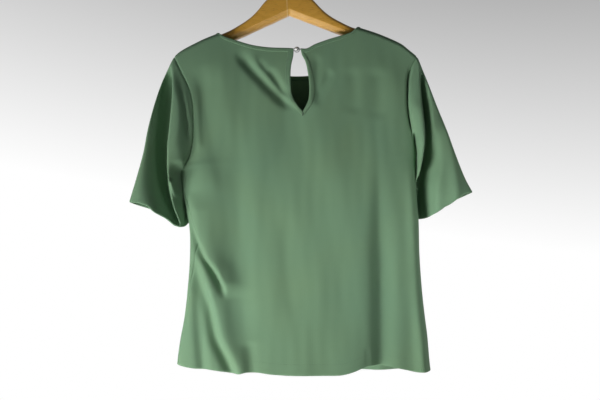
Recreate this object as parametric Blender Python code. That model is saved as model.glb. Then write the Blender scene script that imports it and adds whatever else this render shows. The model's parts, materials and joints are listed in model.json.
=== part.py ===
"""A short-sleeve knit shirt with a keyhole back, hung on a wooden hanger.

Lengths in this file are millimetres until a mesh is made, and Blender gets metres. The origin is the point where
the hanger's hook hangs on its rail. x runs across the shirt, y from its back (minus) to its front (plus), and a drop
is a distance straight down from the origin. Left and right are those of the person who would wear the shirt.

Each panel is a wall round a middle surface. A place on a panel is given by `across`, from -1 at its left edge
to 1 at its right edge with the neck points at +-NECK_SHARE, and by `down`, from 0 at its top edge to 1 at the hem
with the underarm at UNDERARM.
"""

import math
from collections import namedtuple

import bmesh
import bpy
import numpy as np

MM = 0.001
COLLECTION = "short_sleeve_shirt_on_hanger"

# Cloth
WALL = 1.5
BAND_WALL = 1.1
SEAM_GAP = 0.3
LIFT = 0.6

# How finely the cloth is divided
NECK_COLUMNS = 11
SHOULDER_COLUMNS = 8
CROWDING = 1.4
ARMHOLE_ROWS = 13
BODY_ROWS = 14
SLEEVE_ROWS = 12
KEYHOLE_ROW = 7

# Shares of a panel
NECK_SHARE = 0.6
UNDERARM = 0.37
KEYHOLE_CLOSING = 0.12

# x of the panels' top edge, drops where their middle line starts and ends, and half widths of the hem
LEFT_TIP_X, LEFT_NECK_X, NECK_MIDDLE_X, RIGHT_NECK_X, RIGHT_TIP_X = -220.0, -140.5, 10.0, 130.0, 237.0
NECKLINE_DROP, HEM_DROP = 205.0, 800.0
HEM_HALF_LEFT, HEM_HALF_RIGHT = 233.0, 232.5

# How soon the folds of a panel die away at its side seams and at its armholes
SEAM_FADE = 2.2
ARMHOLE_FADE = 9.0

# Hanger. It turns about the middle of its hook, and the shirt's own middle hangs a little to the right of it
TILT = math.radians(2.0)
SHIRT_X = 7.2
HOOK_INNER_RADIUS = 17.0
WIRE_RADIUS = 1.75
ARM_COVER = WALL / 2 + 1.7
ARM_ROUND = 12.0
ARM_CHAMFER = 8.0
ARM_TOP_ROUND = 9.0
GLUE_LINE = -4.0
WOOD_TOP = 62.0

# Button and loop
BUTTON_RADIUS = 4.0
BUTTON_PLACE = (11.0, -26.0, -205.5)
THREAD_RADIUS = 0.6
# The thread's places from the button's middle: the shank's three, and the loop's two ends and its depth
SHANK = ((BUTTON_RADIUS + SEAM_GAP, 1.0, 0.0), (BUTTON_RADIUS + 1.4, 1.3, 0.0), (6.6, 1.9, 0.0))
LOOP_ENDS = ((-6.1, 2.2, 1.3), (-6.1, 2.2, -1.3))
LOOP_BEHIND = 3.2
LOOP_ARC = range(150, -151, -20)

Edge = namedtuple("Edge", "drop x")
Level = namedtuple("Level", "drop back front")
Rise = namedtuple("Rise", "x drop")
Lip = namedtuple("Lip", "share x")
Swing = namedtuple("Swing", "drop degrees")
Arm = namedtuple("Arm", "out top bottom half_thick")
Sleeve = namedtuple("Sleeve", "share outer_x outer_drop inner_x inner_drop")
Fold = namedtuple("Fold", "x0 drop0 x1 drop1 bow left right start end runs_off")

# The armhole seam down to the underarm, and the body's outline from there to the hem
LEFT_TIP, LEFT_UNDERARM, LEFT_HEM = 214.0, 434.0, 786.0
LEFT_EDGE = (
    Edge(214, -220), Edge(247, -204), Edge(281, -188), Edge(325, -181), Edge(388, -184), Edge(418, -196),
    Edge(434, -209), Edge(480, -200), Edge(527, -190), Edge(572, -187), Edge(611, -188), Edge(661, -192),
    Edge(706, -197), Edge(739, -203), Edge(767, -207), Edge(786, -209),
)
RIGHT_TIP, RIGHT_UNDERARM, RIGHT_HEM = 213.0, 405.0, 797.0
RIGHT_EDGE = (
    Edge(213, 237), Edge(241, 222), Edge(275, 217), Edge(303, 216.5), Edge(348, 222), Edge(385, 229),
    Edge(405, 234), Edge(440, 233), Edge(480, 234), Edge(520, 237), Edge(583, 238), Edge(650, 242),
    Edge(700, 247), Edge(733, 251), Edge(784, 255), Edge(797, 256.5),
)
# The line down the middle of both panels
CENTRE = (Edge(150, 9), Edge(205, 10), Edge(330, 22), Edge(560, 24), Edge(800, 24))

# How far the middle of each panel stands from the plane of the hanger
DEPTHS = (
    Level(150, 20, 20), Level(205, 24, 24), Level(260, 28, 28), Level(330, 32, 34), Level(434, 41, 43),
    Level(560, 45, 47), Level(800, 49, 50),
)
BODY_SQUARENESS = 2.4
ARMHOLE_DEPTH = 22.0
SHOULDER_TIP_DEPTH = 0.72
ARMHOLE_CLOSING = 5
# Where the left side seam swings round on to the back of the body
LEFT_SWING = (Swing(434, 0), Swing(480, 10), Swing(530, 28), Swing(570, 30), Swing(620, 16), Swing(665, 2), Swing(700, 0))

# The back neckline, the front neckline and both hems, from left to right
BACK_NECK = (
    Rise(-140.5, 170.6), Rise(-136, 171.8), Rise(-130, 177), Rise(-120, 182), Rise(-106, 187), Rise(-75, 197),
    Rise(-45, 202), Rise(4, 204), Rise(20, 205), Rise(43, 196), Rise(72, 186), Rise(103, 176), Rise(114, 171),
    Rise(120, 165.5), Rise(126, 159.8), Rise(130, 159),
)
FRONT_NECK = (
    Rise(-140.5, 170.6), Rise(-136, 172), Rise(-130, 179.5), Rise(-120, 193), Rise(-110, 203), Rise(-75, 224),
    Rise(-35, 238), Rise(10, 243), Rise(50, 239), Rise(85, 224), Rise(106, 204), Rise(114, 191), Rise(120, 174),
    Rise(126, 160.5), Rise(130, 159),
)
BACK_HEM = (
    Rise(-209, 786), Rise(-180, 790), Rise(-143, 792), Rise(-118, 795), Rise(-98, 799), Rise(-78, 795), Rise(-62, 795),
    Rise(-35, 798), Rise(10, 800), Rise(60, 800), Rise(92, 799), Rise(112, 794), Rise(134, 786), Rise(155, 784),
    Rise(180, 787), Rise(205, 792), Rise(232, 797), Rise(256.5, 797),
)
FRONT_HEM = (
    Rise(-209, 786), Rise(-150, 797), Rise(-60, 800), Rise(20, 803), Rise(110, 802), Rise(190, 799), Rise(256.5, 797),
)

# The two lips of the keyhole, from the neckline to its tip
LEFT_LIP = (Lip(0, 4), Lip(0.1, 3.5), Lip(0.26, -0.4), Lip(0.4, -1.6), Lip(0.58, -1), Lip(0.75, 2), Lip(0.87, 9.4), Lip(1, 22))
RIGHT_LIP = (Lip(0, 18), Lip(0.1, 21), Lip(0.2, 27), Lip(0.37, 31.6), Lip(0.54, 34.5), Lip(0.7, 35), Lip(0.85, 31.6), Lip(1, 22))
LIP_REACH = 0.34
BAND_WIDTH = 8.0
NECK_BAND_WIDTH = 7.0

# The hook's wire from the end of its round part to the wood, as (along the hanger, drop)
HOOK_ARC = range(-20, 226, 14)
HOOK_STEM = ((-9.5, 34.6), (-5.2, 38.8), (-2.0, 43.6), (-0.5, 48.8), (0.0, 54.0), (0.0, WOOD_TOP - SEAM_GAP))

# The hanger's arm before it is tilted: distance out from the middle, drops of its top and underside, half thickness
ARMS = (
    Arm(0, 62, 132, 11), Arm(9, 62, 136, 11), Arm(13, 65, 137.5, 11), Arm(20, 77, 140.5, 11), Arm(32, 93, 146, 11),
    Arm(47, 107, 152, 11), Arm(58, 120, 157, 11), Arm(70, 132, 162, 11), Arm(82, 141, 167.5, 10.8),
    Arm(97, 150, 173.5, 10.5), Arm(113, 158.5, 180, 10.2), Arm(128, 164.5, 186, 9.8), Arm(140, 168.7, 190, 9.5),
    Arm(162, 176.8, 198, 9), Arm(175, 182.5, 203, 8.7), Arm(188, 188.5, 207.5, 8.4), Arm(200, 194.5, 211.5, 8),
    Arm(210, 200.5, 214, 7), Arm(215, 204.5, 215, 5.5), Arm(217, 208, 213.5, 3.5),
)
# Past the end of the arm the cloth droops along this line
BEYOND_ARM = (Arm(222, 208.6, 0, 0), Arm(230, 215.5, 0, 0), Arm(240, 224.5, 0, 0), Arm(250, 233, 0, 0))

# Folds: a ridge stands out from the body, a trough (minus) sinks in. Left and right are its half widths.
BACK_FOLDS = (
    Fold(-100, 218, -4, 318, -3, 13, 15, -9, -7, False),
    Fold(-172, 236, -126, 402, -6, 18, 26, -7, -5, False),
    Fold(156, 380, 158, 800, 4, 34, 18, -4, -30, True),
    Fold(206, 520, 212, 800, 0, 24, 26, 1, 7, True),
    Fold(-184, 452, -112, 650, 6, 14, 26, 12, 9, False),
    Fold(-166, 588, -98, 800, 5, 15, 16, 11, 12, True),
    Fold(-172, 616, -140, 790, 0, 15, 13, -8, -8, True),
    Fold(-106, 508, -92, 752, -10, 28, 30, -7, -7, False),
    Fold(20, 690, 20, 800, 0, 70, 60, 1, 7, True),
)
FRONT_FOLDS = (
    Fold(-186, 440, -96, 700, 8, 16, 28, 9, 6, False),
    Fold(-150, 560, -118, 800, 0, 22, 22, -7, -20, True),
    Fold(196, 430, 150, 640, 8, 26, 18, 9, 7, False),
    Fold(176, 540, 168, 800, 0, 22, 26, -6, -22, True),
    Fold(60, 500, 66, 800, 0, 26, 26, -2, -11, True),
    Fold(-40, 470, -34, 800, 0, 28, 28, -2, -9, True),
    Fold(-132, 190, -60, 300, -4, 14, 16, -5, -4, False),
    Fold(122, 190, 66, 300, 4, 16, 14, -5, -4, False),
    Fold(-176, 260, -110, 420, -5, 18, 26, -6, -5, False),
    Fold(206, 260, 150, 420, 5, 26, 18, -6, -5, False),
)

# Outer line and inner line of each sleeve, from the armhole to the cuff
LEFT_SLEEVE = (
    Sleeve(0, -220, 214, -209, 434), Sleeve(0.17, -242, 262, -220, 441), Sleeve(0.34, -256, 309, -222, 453),
    Sleeve(0.5, -266, 354, -219, 467), Sleeve(0.67, -273.5, 399, -213, 483), Sleeve(0.83, -284.5, 443, -206, 501),
    Sleeve(1, -297.5, 488, -199, 520),
)
RIGHT_SLEEVE = (
    Sleeve(0, 237, 213, 234, 405), Sleeve(0.17, 253, 257, 250, 400), Sleeve(0.34, 271, 309, 248, 426),
    Sleeve(0.5, 288, 354, 246, 448), Sleeve(0.67, 303, 399, 245, 470), Sleeve(0.83, 320, 443, 244, 492),
    Sleeve(1, 334, 470, 244, 516),
)
# The cuff between its outer and its inner end, as extra drop
LEFT_CUFF_BACK = (Rise(0, 0), Rise(0.3, -3), Rise(0.45, 5), Rise(0.6, 9), Rise(0.8, 18), Rise(0.93, 13), Rise(1, 0))
RIGHT_CUFF_BACK = (Rise(0, 0), Rise(0.2, -3), Rise(0.45, 3), Rise(0.6, 4), Rise(0.8, 8), Rise(1, 0))
CUFF_FRONT = (Rise(0, 0), Rise(0.25, 0), Rise(0.5, 6), Rise(0.75, 8), Rise(1, 0))
CUFF_DEPTH = 34.0
CUFF_FULLNESS = 0.8
SLEEVE_BULGE = 12.0

# How soon the folds of a sleeve start: from its outer line, from its inner line and from the armhole
OUTER_FADE, INNER_FADE, START_FADE = 0.12, 0.1, 0.14
LEFT_SLEEVE_FOLDS = (
    Fold(-228, 236, -240, 500, 6, 20, 6, -14, -26, True),
    Fold(-206, 436, -204, 530, 0, 9, 14, -8, -14, True),
    Fold(-206, 330, -216, 470, 0, 12, 12, 5, 6, False),
)
RIGHT_SLEEVE_FOLDS = (
    Fold(241, 232, 247, 505, -6, 6, 20, -14, -26, True),
    Fold(226, 250, 238, 400, 0, 12, 8, 4, 6, False),
)
LEFT_SLEEVE_FRONT_FOLDS = (
    Fold(-232, 260, -236, 520, 4, 16, 12, -6, -18, True),
)
RIGHT_SLEEVE_FRONT_FOLDS = (
    Fold(246, 260, 268, 520, -4, 12, 16, -6, -18, True),
)


def blend(a, b, share):
    """a at share 0 and b at share 1."""
    return a + (b - a) * share


def ease(share):
    """0 below 0, 1 above 1 and a smooth rise between."""
    share = np.clip(share, 0.0, 1.0)
    return share * share * (3.0 - 2.0 * share)


def follow(table, at, key, value):
    """A smooth curve through the rows of a table, flat past both ends."""
    xs = np.array([getattr(row, key) for row in table], float)
    ys = np.array([getattr(row, value) for row in table], float)
    steps = np.diff(xs)
    slopes = np.diff(ys) / steps
    tangents = np.empty_like(ys)
    tangents[1:-1] = np.where(slopes[1:] * slopes[:-1] > 0, (slopes[1:] + slopes[:-1]) / 2, 0.0)
    tangents[0], tangents[-1] = slopes[0], slopes[-1]
    at = np.clip(np.asarray(at, float), xs[0], xs[-1])
    i = np.clip(np.searchsorted(xs, at, side="right") - 1, 0, len(steps) - 1)
    t = (at - xs[i]) / steps[i]
    rise = ys[i] * (2 * t**3 - 3 * t**2 + 1) + ys[i + 1] * (3 * t**2 - 2 * t**3)
    return rise + steps[i] * (tangents[i] * (t**3 - 2 * t**2 + t) + tangents[i + 1] * (t**3 - t**2))


def fold_height(folds, x, drop):
    """How far the folds lift the cloth out from the body at each place, minus where they sink it."""
    height = np.zeros_like(x)
    for fold in folds:
        run_x, run_drop = fold.x1 - fold.x0, fold.drop1 - fold.drop0
        length = math.hypot(run_x, run_drop)
        away_x, away_drop = x - fold.x0, drop - fold.drop0
        along = (away_x * run_x + away_drop * run_drop) / length**2
        inside = np.clip(along, 0.0, 1.0)
        aside = (away_x * run_drop - away_drop * run_x) / length - fold.bow * 4 * inside * (1 - inside)
        width = np.where(aside < 0, fold.left, fold.right)
        fade = ease((along + 0.02) / 0.22)
        if not fold.runs_off:
            fade = fade * ease((1.02 - along) / 0.22)
        height += blend(fold.start, fold.end, inside) * fade * np.exp(-((aside / width) ** 2))
    return height


def cover_drop(x):
    """Drop of the cloth where it lies on the tilted hanger's arms."""
    rows = tuple(row._replace(top=row.top - ARM_COVER) for row in ARMS[:-2]) + BEYOND_ARM
    drop = np.full_like(np.asarray(x, float), 180.0)
    for _ in range(3):
        out = x + SHIRT_X - (drop - HOOK_INNER_RADIUS) * math.tan(TILT)
        drop = follow(rows, np.abs(out), "out", "top") - out * math.tan(TILT)
    return drop


def shaped(depth, height):
    """A depth with a fold's height added, where a deep trough thins out before it meets the other side."""
    kept = np.maximum(depth, 1e-3)
    return np.where(height < 0, kept * np.exp(np.minimum(height, 0.0) / kept), depth + height)


def edge_drops(down, tip, underarm, hem):
    """Drop along a panel's side edge: armhole to the underarm, then side seam to the hem."""
    armhole = blend(tip, underarm, down / UNDERARM)
    side = blend(underarm, hem, (down - UNDERARM) / (1 - UNDERARM))
    return np.where(down < UNDERARM, armhole, side)


def top_edge(side, across):
    """x and drop of a panel's top edge: shoulder seam, neckline, shoulder seam."""
    columns = (
        Lip(-1, LEFT_TIP_X), Lip(-NECK_SHARE, LEFT_NECK_X), Lip(0, NECK_MIDDLE_X), Lip(NECK_SHARE, RIGHT_NECK_X),
        Lip(1, RIGHT_TIP_X),
    )
    x = follow(columns, across, "share", "x")
    neck = follow(BACK_NECK if side == "back" else FRONT_NECK, x, "x", "drop")
    return x, np.where(np.abs(across) < NECK_SHARE - 1e-6, neck, cover_drop(x))


def panel_points(side, across, down):
    """Middle surface of the front or back panel at each (across, down)."""
    left = across < 0
    edge = np.where(
        left,
        edge_drops(down, LEFT_TIP, LEFT_UNDERARM, LEFT_HEM),
        edge_drops(down, RIGHT_TIP, RIGHT_UNDERARM, RIGHT_HEM),
    )
    centre_x = follow(CENTRE, blend(NECKLINE_DROP, HEM_DROP, down), "drop", "x")
    edge_x = np.where(left, follow(LEFT_EDGE, edge, "drop", "x"), follow(RIGHT_EDGE, edge, "drop", "x"))
    half = np.abs(edge_x - centre_x)

    # Round the armhole the edge stands behind or before the hanger, and closes at the tip and the underarm
    share = np.clip(down / UNDERARM, 0.0, 1.0)
    closing = np.sqrt(np.clip(1.0 - share**ARMHOLE_CLOSING, 0.0, 1.0))
    edge_depth = ARMHOLE_DEPTH * closing * blend(SHOULDER_TIP_DEPTH, 1.0, ease(share * 2))
    depth_key = "back" if side == "back" else "front"
    edge_middle = follow(DEPTHS, edge, "drop", depth_key)
    n = BODY_SQUARENESS
    reach = np.clip(1.0 - (edge_depth / edge_middle) ** n, 0.0, 1.0) ** (1 / n)
    swing = np.where(left, np.radians(follow(LEFT_SWING, edge, "drop", "degrees")), 0.0)
    swing = np.where(down > UNDERARM, swing, 0.0)
    turn_edge = np.arcsin(reach) - (swing if side == "back" else -swing)
    full = half / reach
    turn = across * turn_edge
    ring_x = centre_x + full * np.sin(turn)

    top_x, top_drop = top_edge(side, across)
    top_half = np.where(left, NECK_MIDDLE_X - LEFT_TIP_X, RIGHT_TIP_X - NECK_MIDDLE_X)
    flat_x = centre_x + half * (top_x - NECK_MIDDLE_X) / top_half
    settle = ease(down / UNDERARM)
    x = blend(flat_x, ring_x, settle)

    hem_table = BACK_HEM if side == "back" else FRONT_HEM
    hem_half = np.where(left, HEM_HALF_LEFT, HEM_HALF_RIGHT)
    hem_x = follow(CENTRE, HEM_DROP, "drop", "x") + hem_half * np.sin(across * math.pi / 2)
    hem = follow(hem_table, hem_x, "x", "drop")
    middle_underarm = (LEFT_UNDERARM + RIGHT_UNDERARM) / 2
    level = blend(middle_underarm, np.where(left, LEFT_UNDERARM, RIGHT_UNDERARM), across**2)
    below = (down - UNDERARM) / (1 - UNDERARM)
    drop = np.where(down < UNDERARM, blend(top_drop, level, share), blend(level, hem, below))

    if side == "back":
        x = x + keyhole_shift(across, down, centre_x)

    rho = np.clip(np.abs(x - centre_x) / full, 0.0, 1.0)
    facing = np.where(down > UNDERARM, np.sign(np.cos(turn)), 1.0)
    own = np.where(facing > 0, follow(DEPTHS, drop, "drop", depth_key),
                   follow(DEPTHS, drop, "drop", "front" if side == "back" else "back"))
    depth = own * np.clip(1.0 - rho**n, 0.0, 1.0) ** (1 / n)
    back_height = fold_height(BACK_FOLDS, x, drop)
    front_height = fold_height(FRONT_FOLDS, x, drop)
    on_back = (facing > 0) == (side == "back")
    to_edge = np.where(down > UNDERARM, np.abs(np.cos(turn)) * SEAM_FADE, (1.0 - np.abs(across)) * ARMHOLE_FADE)
    depth = shaped(depth, np.where(on_back, back_height, front_height) * ease(to_edge))
    over = np.clip((drop - cover_drop(x)) / ARM_ROUND, 0.0, 1.0)
    depth = depth * np.sqrt(1.0 - (1.0 - over) ** 2)
    y = np.where(on_back, -depth, depth)
    return np.stack([x, y, -drop], axis=-1)


def keyhole_shift(across, down, centre_x):
    """How far the cloth beside the keyhole is drawn aside, to the left or to the right of it."""
    share = np.clip(down / KEYHOLE_DOWN, 0.0, 1.0)
    left = follow(LEFT_LIP, share, "share", "x") - centre_x
    right = follow(RIGHT_LIP, share, "share", "x") - centre_x
    middle = follow(LEFT_LIP, 1.0, "share", "x") - centre_x
    closed = middle * ease(1.0 - (down - KEYHOLE_DOWN) / KEYHOLE_CLOSING)
    near = np.clip(1.0 - np.abs(across) / LIP_REACH, 0.0, 1.0) ** 2
    opened = np.where(across < 0, left, np.where(across > 0, right, (left + right) / 2))
    return near * np.where(down < KEYHOLE_DOWN, opened, closed)


def row_shares():
    """`down` of each row of a panel: close together at the shoulder and at the underarm, where the cloth turns."""
    armhole = UNDERARM * ease(np.arange(ARMHOLE_ROWS + 1) / ARMHOLE_ROWS)
    body = blend(UNDERARM, 1.0, np.arange(1, BODY_ROWS + 1) / BODY_ROWS)
    return np.concatenate([armhole, body])


def column_shares():
    """`across` of each column of a panel: close together towards the neck points, where the edge climbs the arm."""
    neck = NECK_SHARE * (1 - (1 - np.arange(NECK_COLUMNS + 1) / NECK_COLUMNS) ** CROWDING)
    shoulder = blend(NECK_SHARE, 1.0, np.arange(1, SHOULDER_COLUMNS + 1) / SHOULDER_COLUMNS)
    half = np.concatenate([neck, shoulder])
    return np.concatenate([-half[:0:-1], half])


DOWNS = row_shares()
ACROSS = column_shares()
KEYHOLE_DOWN = DOWNS[KEYHOLE_ROW]
MIDDLE = NECK_COLUMNS + SHOULDER_COLUMNS


def sleeve_points(outline, armhole, side_sign, cuff, folds, halves):
    """Middle surface of one half of a sleeve: rows from the armhole to the cuff, columns from its outer line in."""
    shares = np.arange(SLEEVE_ROWS + 1)[:, None] / SLEEVE_ROWS
    turn = np.arange(halves + 1)[None, :] / halves
    inward = (1 - np.cos(math.pi * turn)) / 2
    outer_x = follow(outline, shares, "share", "outer_x")
    outer_drop = follow(outline, shares, "share", "outer_drop")
    inner_x = follow(outline, shares, "share", "inner_x")
    inner_drop = follow(outline, shares, "share", "inner_drop")
    cuff_x = blend(outline[-1].outer_x, outline[-1].inner_x, inward)
    cuff_drop = blend(outline[-1].outer_drop, outline[-1].inner_drop, inward) + follow(cuff, inward, "x", "drop")
    hole_x, hole_y, hole_drop = armhole[:, 0][None], armhole[:, 1][None], -armhole[:, 2][None]
    x = blend(hole_x, cuff_x, shares)
    x = x + (1 - inward) * (outer_x - x[:, :1]) + inward * (inner_x - x[:, -1:])
    drop = blend(hole_drop, cuff_drop, shares)
    drop = drop + (1 - inward) * (outer_drop - drop[:, :1]) + inward * (inner_drop - drop[:, -1:])
    round_it = np.clip(np.sin(math.pi * turn), 0.0, 1.0)
    depth = blend(np.abs(hole_y), CUFF_DEPTH * round_it**CUFF_FULLNESS, shares)
    depth = depth + SLEEVE_BULGE * np.sin(math.pi * shares) * round_it
    inside = ease(turn / OUTER_FADE) * ease((1 - turn) / INNER_FADE) * ease(shares / START_FADE)
    depth = shaped(depth, fold_height(folds, x, drop) * inside)
    return np.stack([x, side_sign * depth, -drop], axis=-1)


class Sheet:
    """Middle surface of one piece of cloth: points, faces, and the points that lie on a seam."""

    def __init__(self, name):
        self.name = name
        self.points, self.faces = [], []
        self.seam = set()

    def add(self, point):
        self.points.append(np.asarray(point, float))
        return len(self.points) - 1

    def normals(self):
        """One outward direction a point, from the faces round it."""
        points = np.array(self.points)
        normals = np.zeros_like(points)
        for face in self.faces:
            corners = points[list(face)]
            normal = np.zeros(3)
            for a, b in zip(corners, np.roll(corners, -1, axis=0)):
                normal += np.cross(a, b)
            for corner in face:
                normals[corner] += normal
        return normals / np.linalg.norm(normals, axis=1)[:, None]


def share_seam_normals(sheets):
    """Where pieces meet, gives them one thickness direction, so that their cut edges face each other squarely."""
    normals = {sheet.name: sheet.normals() for sheet in sheets}
    meeting = {}
    for sheet in sheets:
        for corner in sheet.seam:
            key = tuple(np.round(sheet.points[corner], 3))
            meeting.setdefault(key, []).append((sheet.name, corner))
    for places in meeting.values():
        total = sum(normals[name][corner] for name, corner in places)
        for name, corner in places:
            normals[name][corner] = total / np.linalg.norm(total)
    return normals


def rim_edges(faces):
    """The edges that only one face uses, each in that face's direction."""
    edges = {(a, b) for face in faces for a, b in zip(face, face[1:] + face[:1])}
    return [(a, b) for a, b in edges if (b, a) not in edges]


def draw_back_from_seams(sheet, normals):
    """The sheet's points with those on a seam moved in by half the gap, squarely to the seam."""
    points = np.array(sheet.points)
    ways = {}
    for a, b in rim_edges(sheet.faces):
        if a in sheet.seam and b in sheet.seam:
            for corner in (a, b):
                way = np.cross(normals[corner], points[b] - points[a])
                ways.setdefault(corner, []).append(way / np.linalg.norm(way))
    for corner, found in ways.items():
        mitre = 1.0 + (float(found[0] @ found[1]) if len(found) > 1 else 0.0)
        points[corner] += sum(found) / max(mitre, 0.4) * SEAM_GAP / 2
    return points


def wall_object(name, points, normals, faces, wall, lift, material, home):
    """A closed wall round a middle surface, `lift` out from it."""
    count = len(points)
    points = points + (SHIRT_X, 0.0, 0.0)
    outer = points + normals * (lift + wall / 2)
    inner = points + normals * (lift - wall / 2)
    skins = [tuple(face) for face in faces]
    skins += [tuple(count + corner for corner in reversed(face)) for face in faces]
    rims = [(b, a, count + a, count + b) for a, b in rim_edges(faces)]
    mesh = bpy.data.meshes.new(name)
    mesh.from_pydata(np.concatenate([outer, inner]) * MM, [], skins + rims)
    mesh.validate()
    mesh.shade_smooth()
    mesh.set_sharp_from_angle(angle=math.radians(50))
    mesh.materials.append(material)
    made = bpy.data.objects.new(name, mesh)
    home.objects.link(made)
    return made


def panel_sheet(side):
    """The front or the back panel as a grid, the back one parted along its keyhole."""
    sheet = Sheet(f"{side}_panel")
    across, down = np.meshgrid(ACROSS, DOWNS)
    grid = panel_points(side, across, down)
    ids = np.zeros(grid.shape[:2], int)
    for i, j in np.ndindex(ids.shape):
        ids[i, j] = sheet.add(grid[i, j])
    right_ids = ids.copy()
    if side == "back":
        slit = DOWNS[:KEYHOLE_ROW]
        left_lip = panel_points(side, np.full_like(slit, -1e-7), slit)
        right_lip = panel_points(side, np.full_like(slit, 1e-7), slit)
        for i in range(KEYHOLE_ROW):
            sheet.points[ids[i, MIDDLE]] = left_lip[i]
            right_ids[i, MIDDLE] = sheet.add(right_lip[i])
    rows, columns = ids.shape
    for i in range(rows - 1):
        for j in range(columns - 1):
            use = ids if j < MIDDLE else right_ids
            corners = (use[i, j], use[i + 1, j], use[i + 1, j + 1], use[i, j + 1])
            sheet.faces.append(corners if side == "back" else corners[::-1])
    sheet.ids, sheet.right_ids = ids, right_ids
    sheet.seam = set(ids[:, 0]) | set(ids[:, -1]) | set(ids[0, np.abs(ACROSS) > NECK_SHARE - 1e-6])
    return sheet


def sleeve_sheet(name, outline, back, front, column, cuffs, folds):
    """A sleeve as a tube of rings, the first of which is the armhole of both panels."""
    sheet = Sheet(name)
    rows = ARMHOLE_ROWS + 1
    holes = [np.array([panel.points[panel.ids[i, column]] for i in range(rows)]) for panel in (back, front)]
    back_half = sleeve_points(outline, holes[0], -1, cuffs[0], folds[0], ARMHOLE_ROWS)
    front_half = sleeve_points(outline, holes[1], 1, cuffs[1], folds[1], ARMHOLE_ROWS)
    back_half[0], front_half[0] = holes
    rings = np.concatenate([back_half, front_half[:, -2:0:-1]], axis=1)
    ids = np.array([[sheet.add(point) for point in ring] for ring in rings])
    around = ids.shape[1]
    for m in range(SLEEVE_ROWS):
        for k in range(around):
            after = (k + 1) % around
            corners = (ids[m, k], ids[m, after], ids[m + 1, after], ids[m + 1, k])
            sheet.faces.append(corners if outline[0].outer_x > 0 else corners[::-1])
    sheet.seam = set(ids[0])
    return sheet


class Line:
    """A run of panel points with their normals, from an edge of the panel inwards."""

    def __init__(self, points, normals):
        self.points, self.normals = np.asarray(points), np.asarray(normals)

    def between(self, other, share):
        return Line(blend(self.points, other.points, share), blend(self.normals, other.normals, share))

    def cut(self, distance):
        """The line's points as far as `distance`, the last one exactly there."""
        steps = np.linalg.norm(np.diff(self.points, axis=0), axis=1)
        gone = np.concatenate([[0.0], np.cumsum(steps)])
        k = int(np.searchsorted(gone, distance)) - 1
        share = (distance - gone[k]) / steps[k]
        last = blend(self.points[k], self.points[k + 1], share)
        last_normal = blend(self.normals[k], self.normals[k + 1], share)
        return list(zip(self.points[: k + 1], self.normals[: k + 1])) + [(last, last_normal)]


def strip(name, lines, width, reverse, material, home):
    """A band that lies on a panel: from the panel's edge along each line, as far as the band's width."""
    points, normals, known, rows = [], [], {}, []
    for line in lines:
        row = []
        for point, normal in line.cut(width):
            key = tuple(np.round(point, 3))
            if key not in known:
                known[key] = len(points)
                points.append(point)
                normals.append(normal / np.linalg.norm(normal))
            row.append(known[key])
        rows.append(row)
    faces = []
    for first, second in zip(rows, rows[1:]):
        reach = min(len(first), len(second)) - 1
        quads = [(first[k], first[k + 1], second[k + 1], second[k]) for k in range(reach)]
        quads += [(first[k], first[k + 1], second[-1]) for k in range(reach, len(first) - 1)]
        quads += [(first[-1], second[k + 1], second[k]) for k in range(reach, len(second) - 1)]
        for quad in quads:
            corners = tuple(dict.fromkeys(quad))
            if len(corners) > 2:
                faces.append(corners[::-1] if reverse else corners)
    lift = WALL / 2 + LIFT + BAND_WALL / 2
    return wall_object(name, np.array(points), np.array(normals), faces, BAND_WALL, lift, material, home)


def along_neck(points, normals, ids, columns, start=0.0):
    """Lines down from the neckline, one a column, the first of them `start` further on than the first column."""
    lines = [Line(points[ids[:6, j]], normals[ids[:6, j]]) for j in columns]
    gone = 0.0
    while start > 0.0:
        step = np.linalg.norm(lines[1].points[0] - lines[0].points[0])
        if gone + step > start:
            lines[0] = lines[0].between(lines[1], (start - gone) / step)
            break
        gone += step
        lines.pop(0)
    return lines


def neck_and_keyhole_bands(back, front, normals, material, home):
    """The bands that finish the neckline, joined at the shoulders, and the one round the keyhole."""
    reach = NECK_COLUMNS - 1
    beside = BAND_WIDTH + 1.0
    points = np.array(back.points)
    own = normals[back.name]
    left = along_neck(points, own, back.ids, range(MIDDLE, MIDDLE - reach - 1, -1), beside)
    strip("neck_band_back_left", left, NECK_BAND_WIDTH, True, material, home)
    right = along_neck(points, own, back.right_ids, range(MIDDLE, MIDDLE + reach + 1), beside)
    strip("neck_band_back_right", right, NECK_BAND_WIDTH, False, material, home)

    def row(ids, i, step):
        corners = ids[i, MIDDLE: MIDDLE + 4 * step: step]
        return Line(points[corners], own[corners])

    def slant(step):
        corners = [back.ids[KEYHOLE_ROW + k, MIDDLE + k * step] for k in range(3)]
        return Line(points[corners], own[corners])

    below = back.ids[KEYHOLE_ROW: KEYHOLE_ROW + 4, MIDDLE]
    lines = [row(back.ids, i, -1) for i in range(KEYHOLE_ROW)]
    lines += [slant(-1), Line(points[below], own[below]), slant(1)]
    lines += [row(back.right_ids, i, 1) for i in reversed(range(KEYHOLE_ROW))]
    strip("keyhole_band", lines, BAND_WIDTH, False, material, home)

    points = np.array(front.points)
    lines = along_neck(points, normals[front.name], front.ids, range(MIDDLE - reach, MIDDLE + reach + 1))
    strip("neck_band_front", lines, NECK_BAND_WIDTH, True, material, home)


def wire(name, route, radius, material, home, sides=2):
    """A round wire along a route, with closed ends."""
    curve = bpy.data.curves.new(name, "CURVE")
    curve.dimensions = "3D"
    curve.bevel_depth = radius * MM
    curve.bevel_resolution = sides
    curve.use_fill_caps = True
    spline = curve.splines.new("POLY")
    spline.points.add(len(route) - 1)
    for point, place in zip(spline.points, route):
        point.co = (*(value * MM for value in place), 1.0)
    curve.materials.append(material)
    made = bpy.data.objects.new(name, curve)
    home.objects.link(made)
    return made


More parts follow.
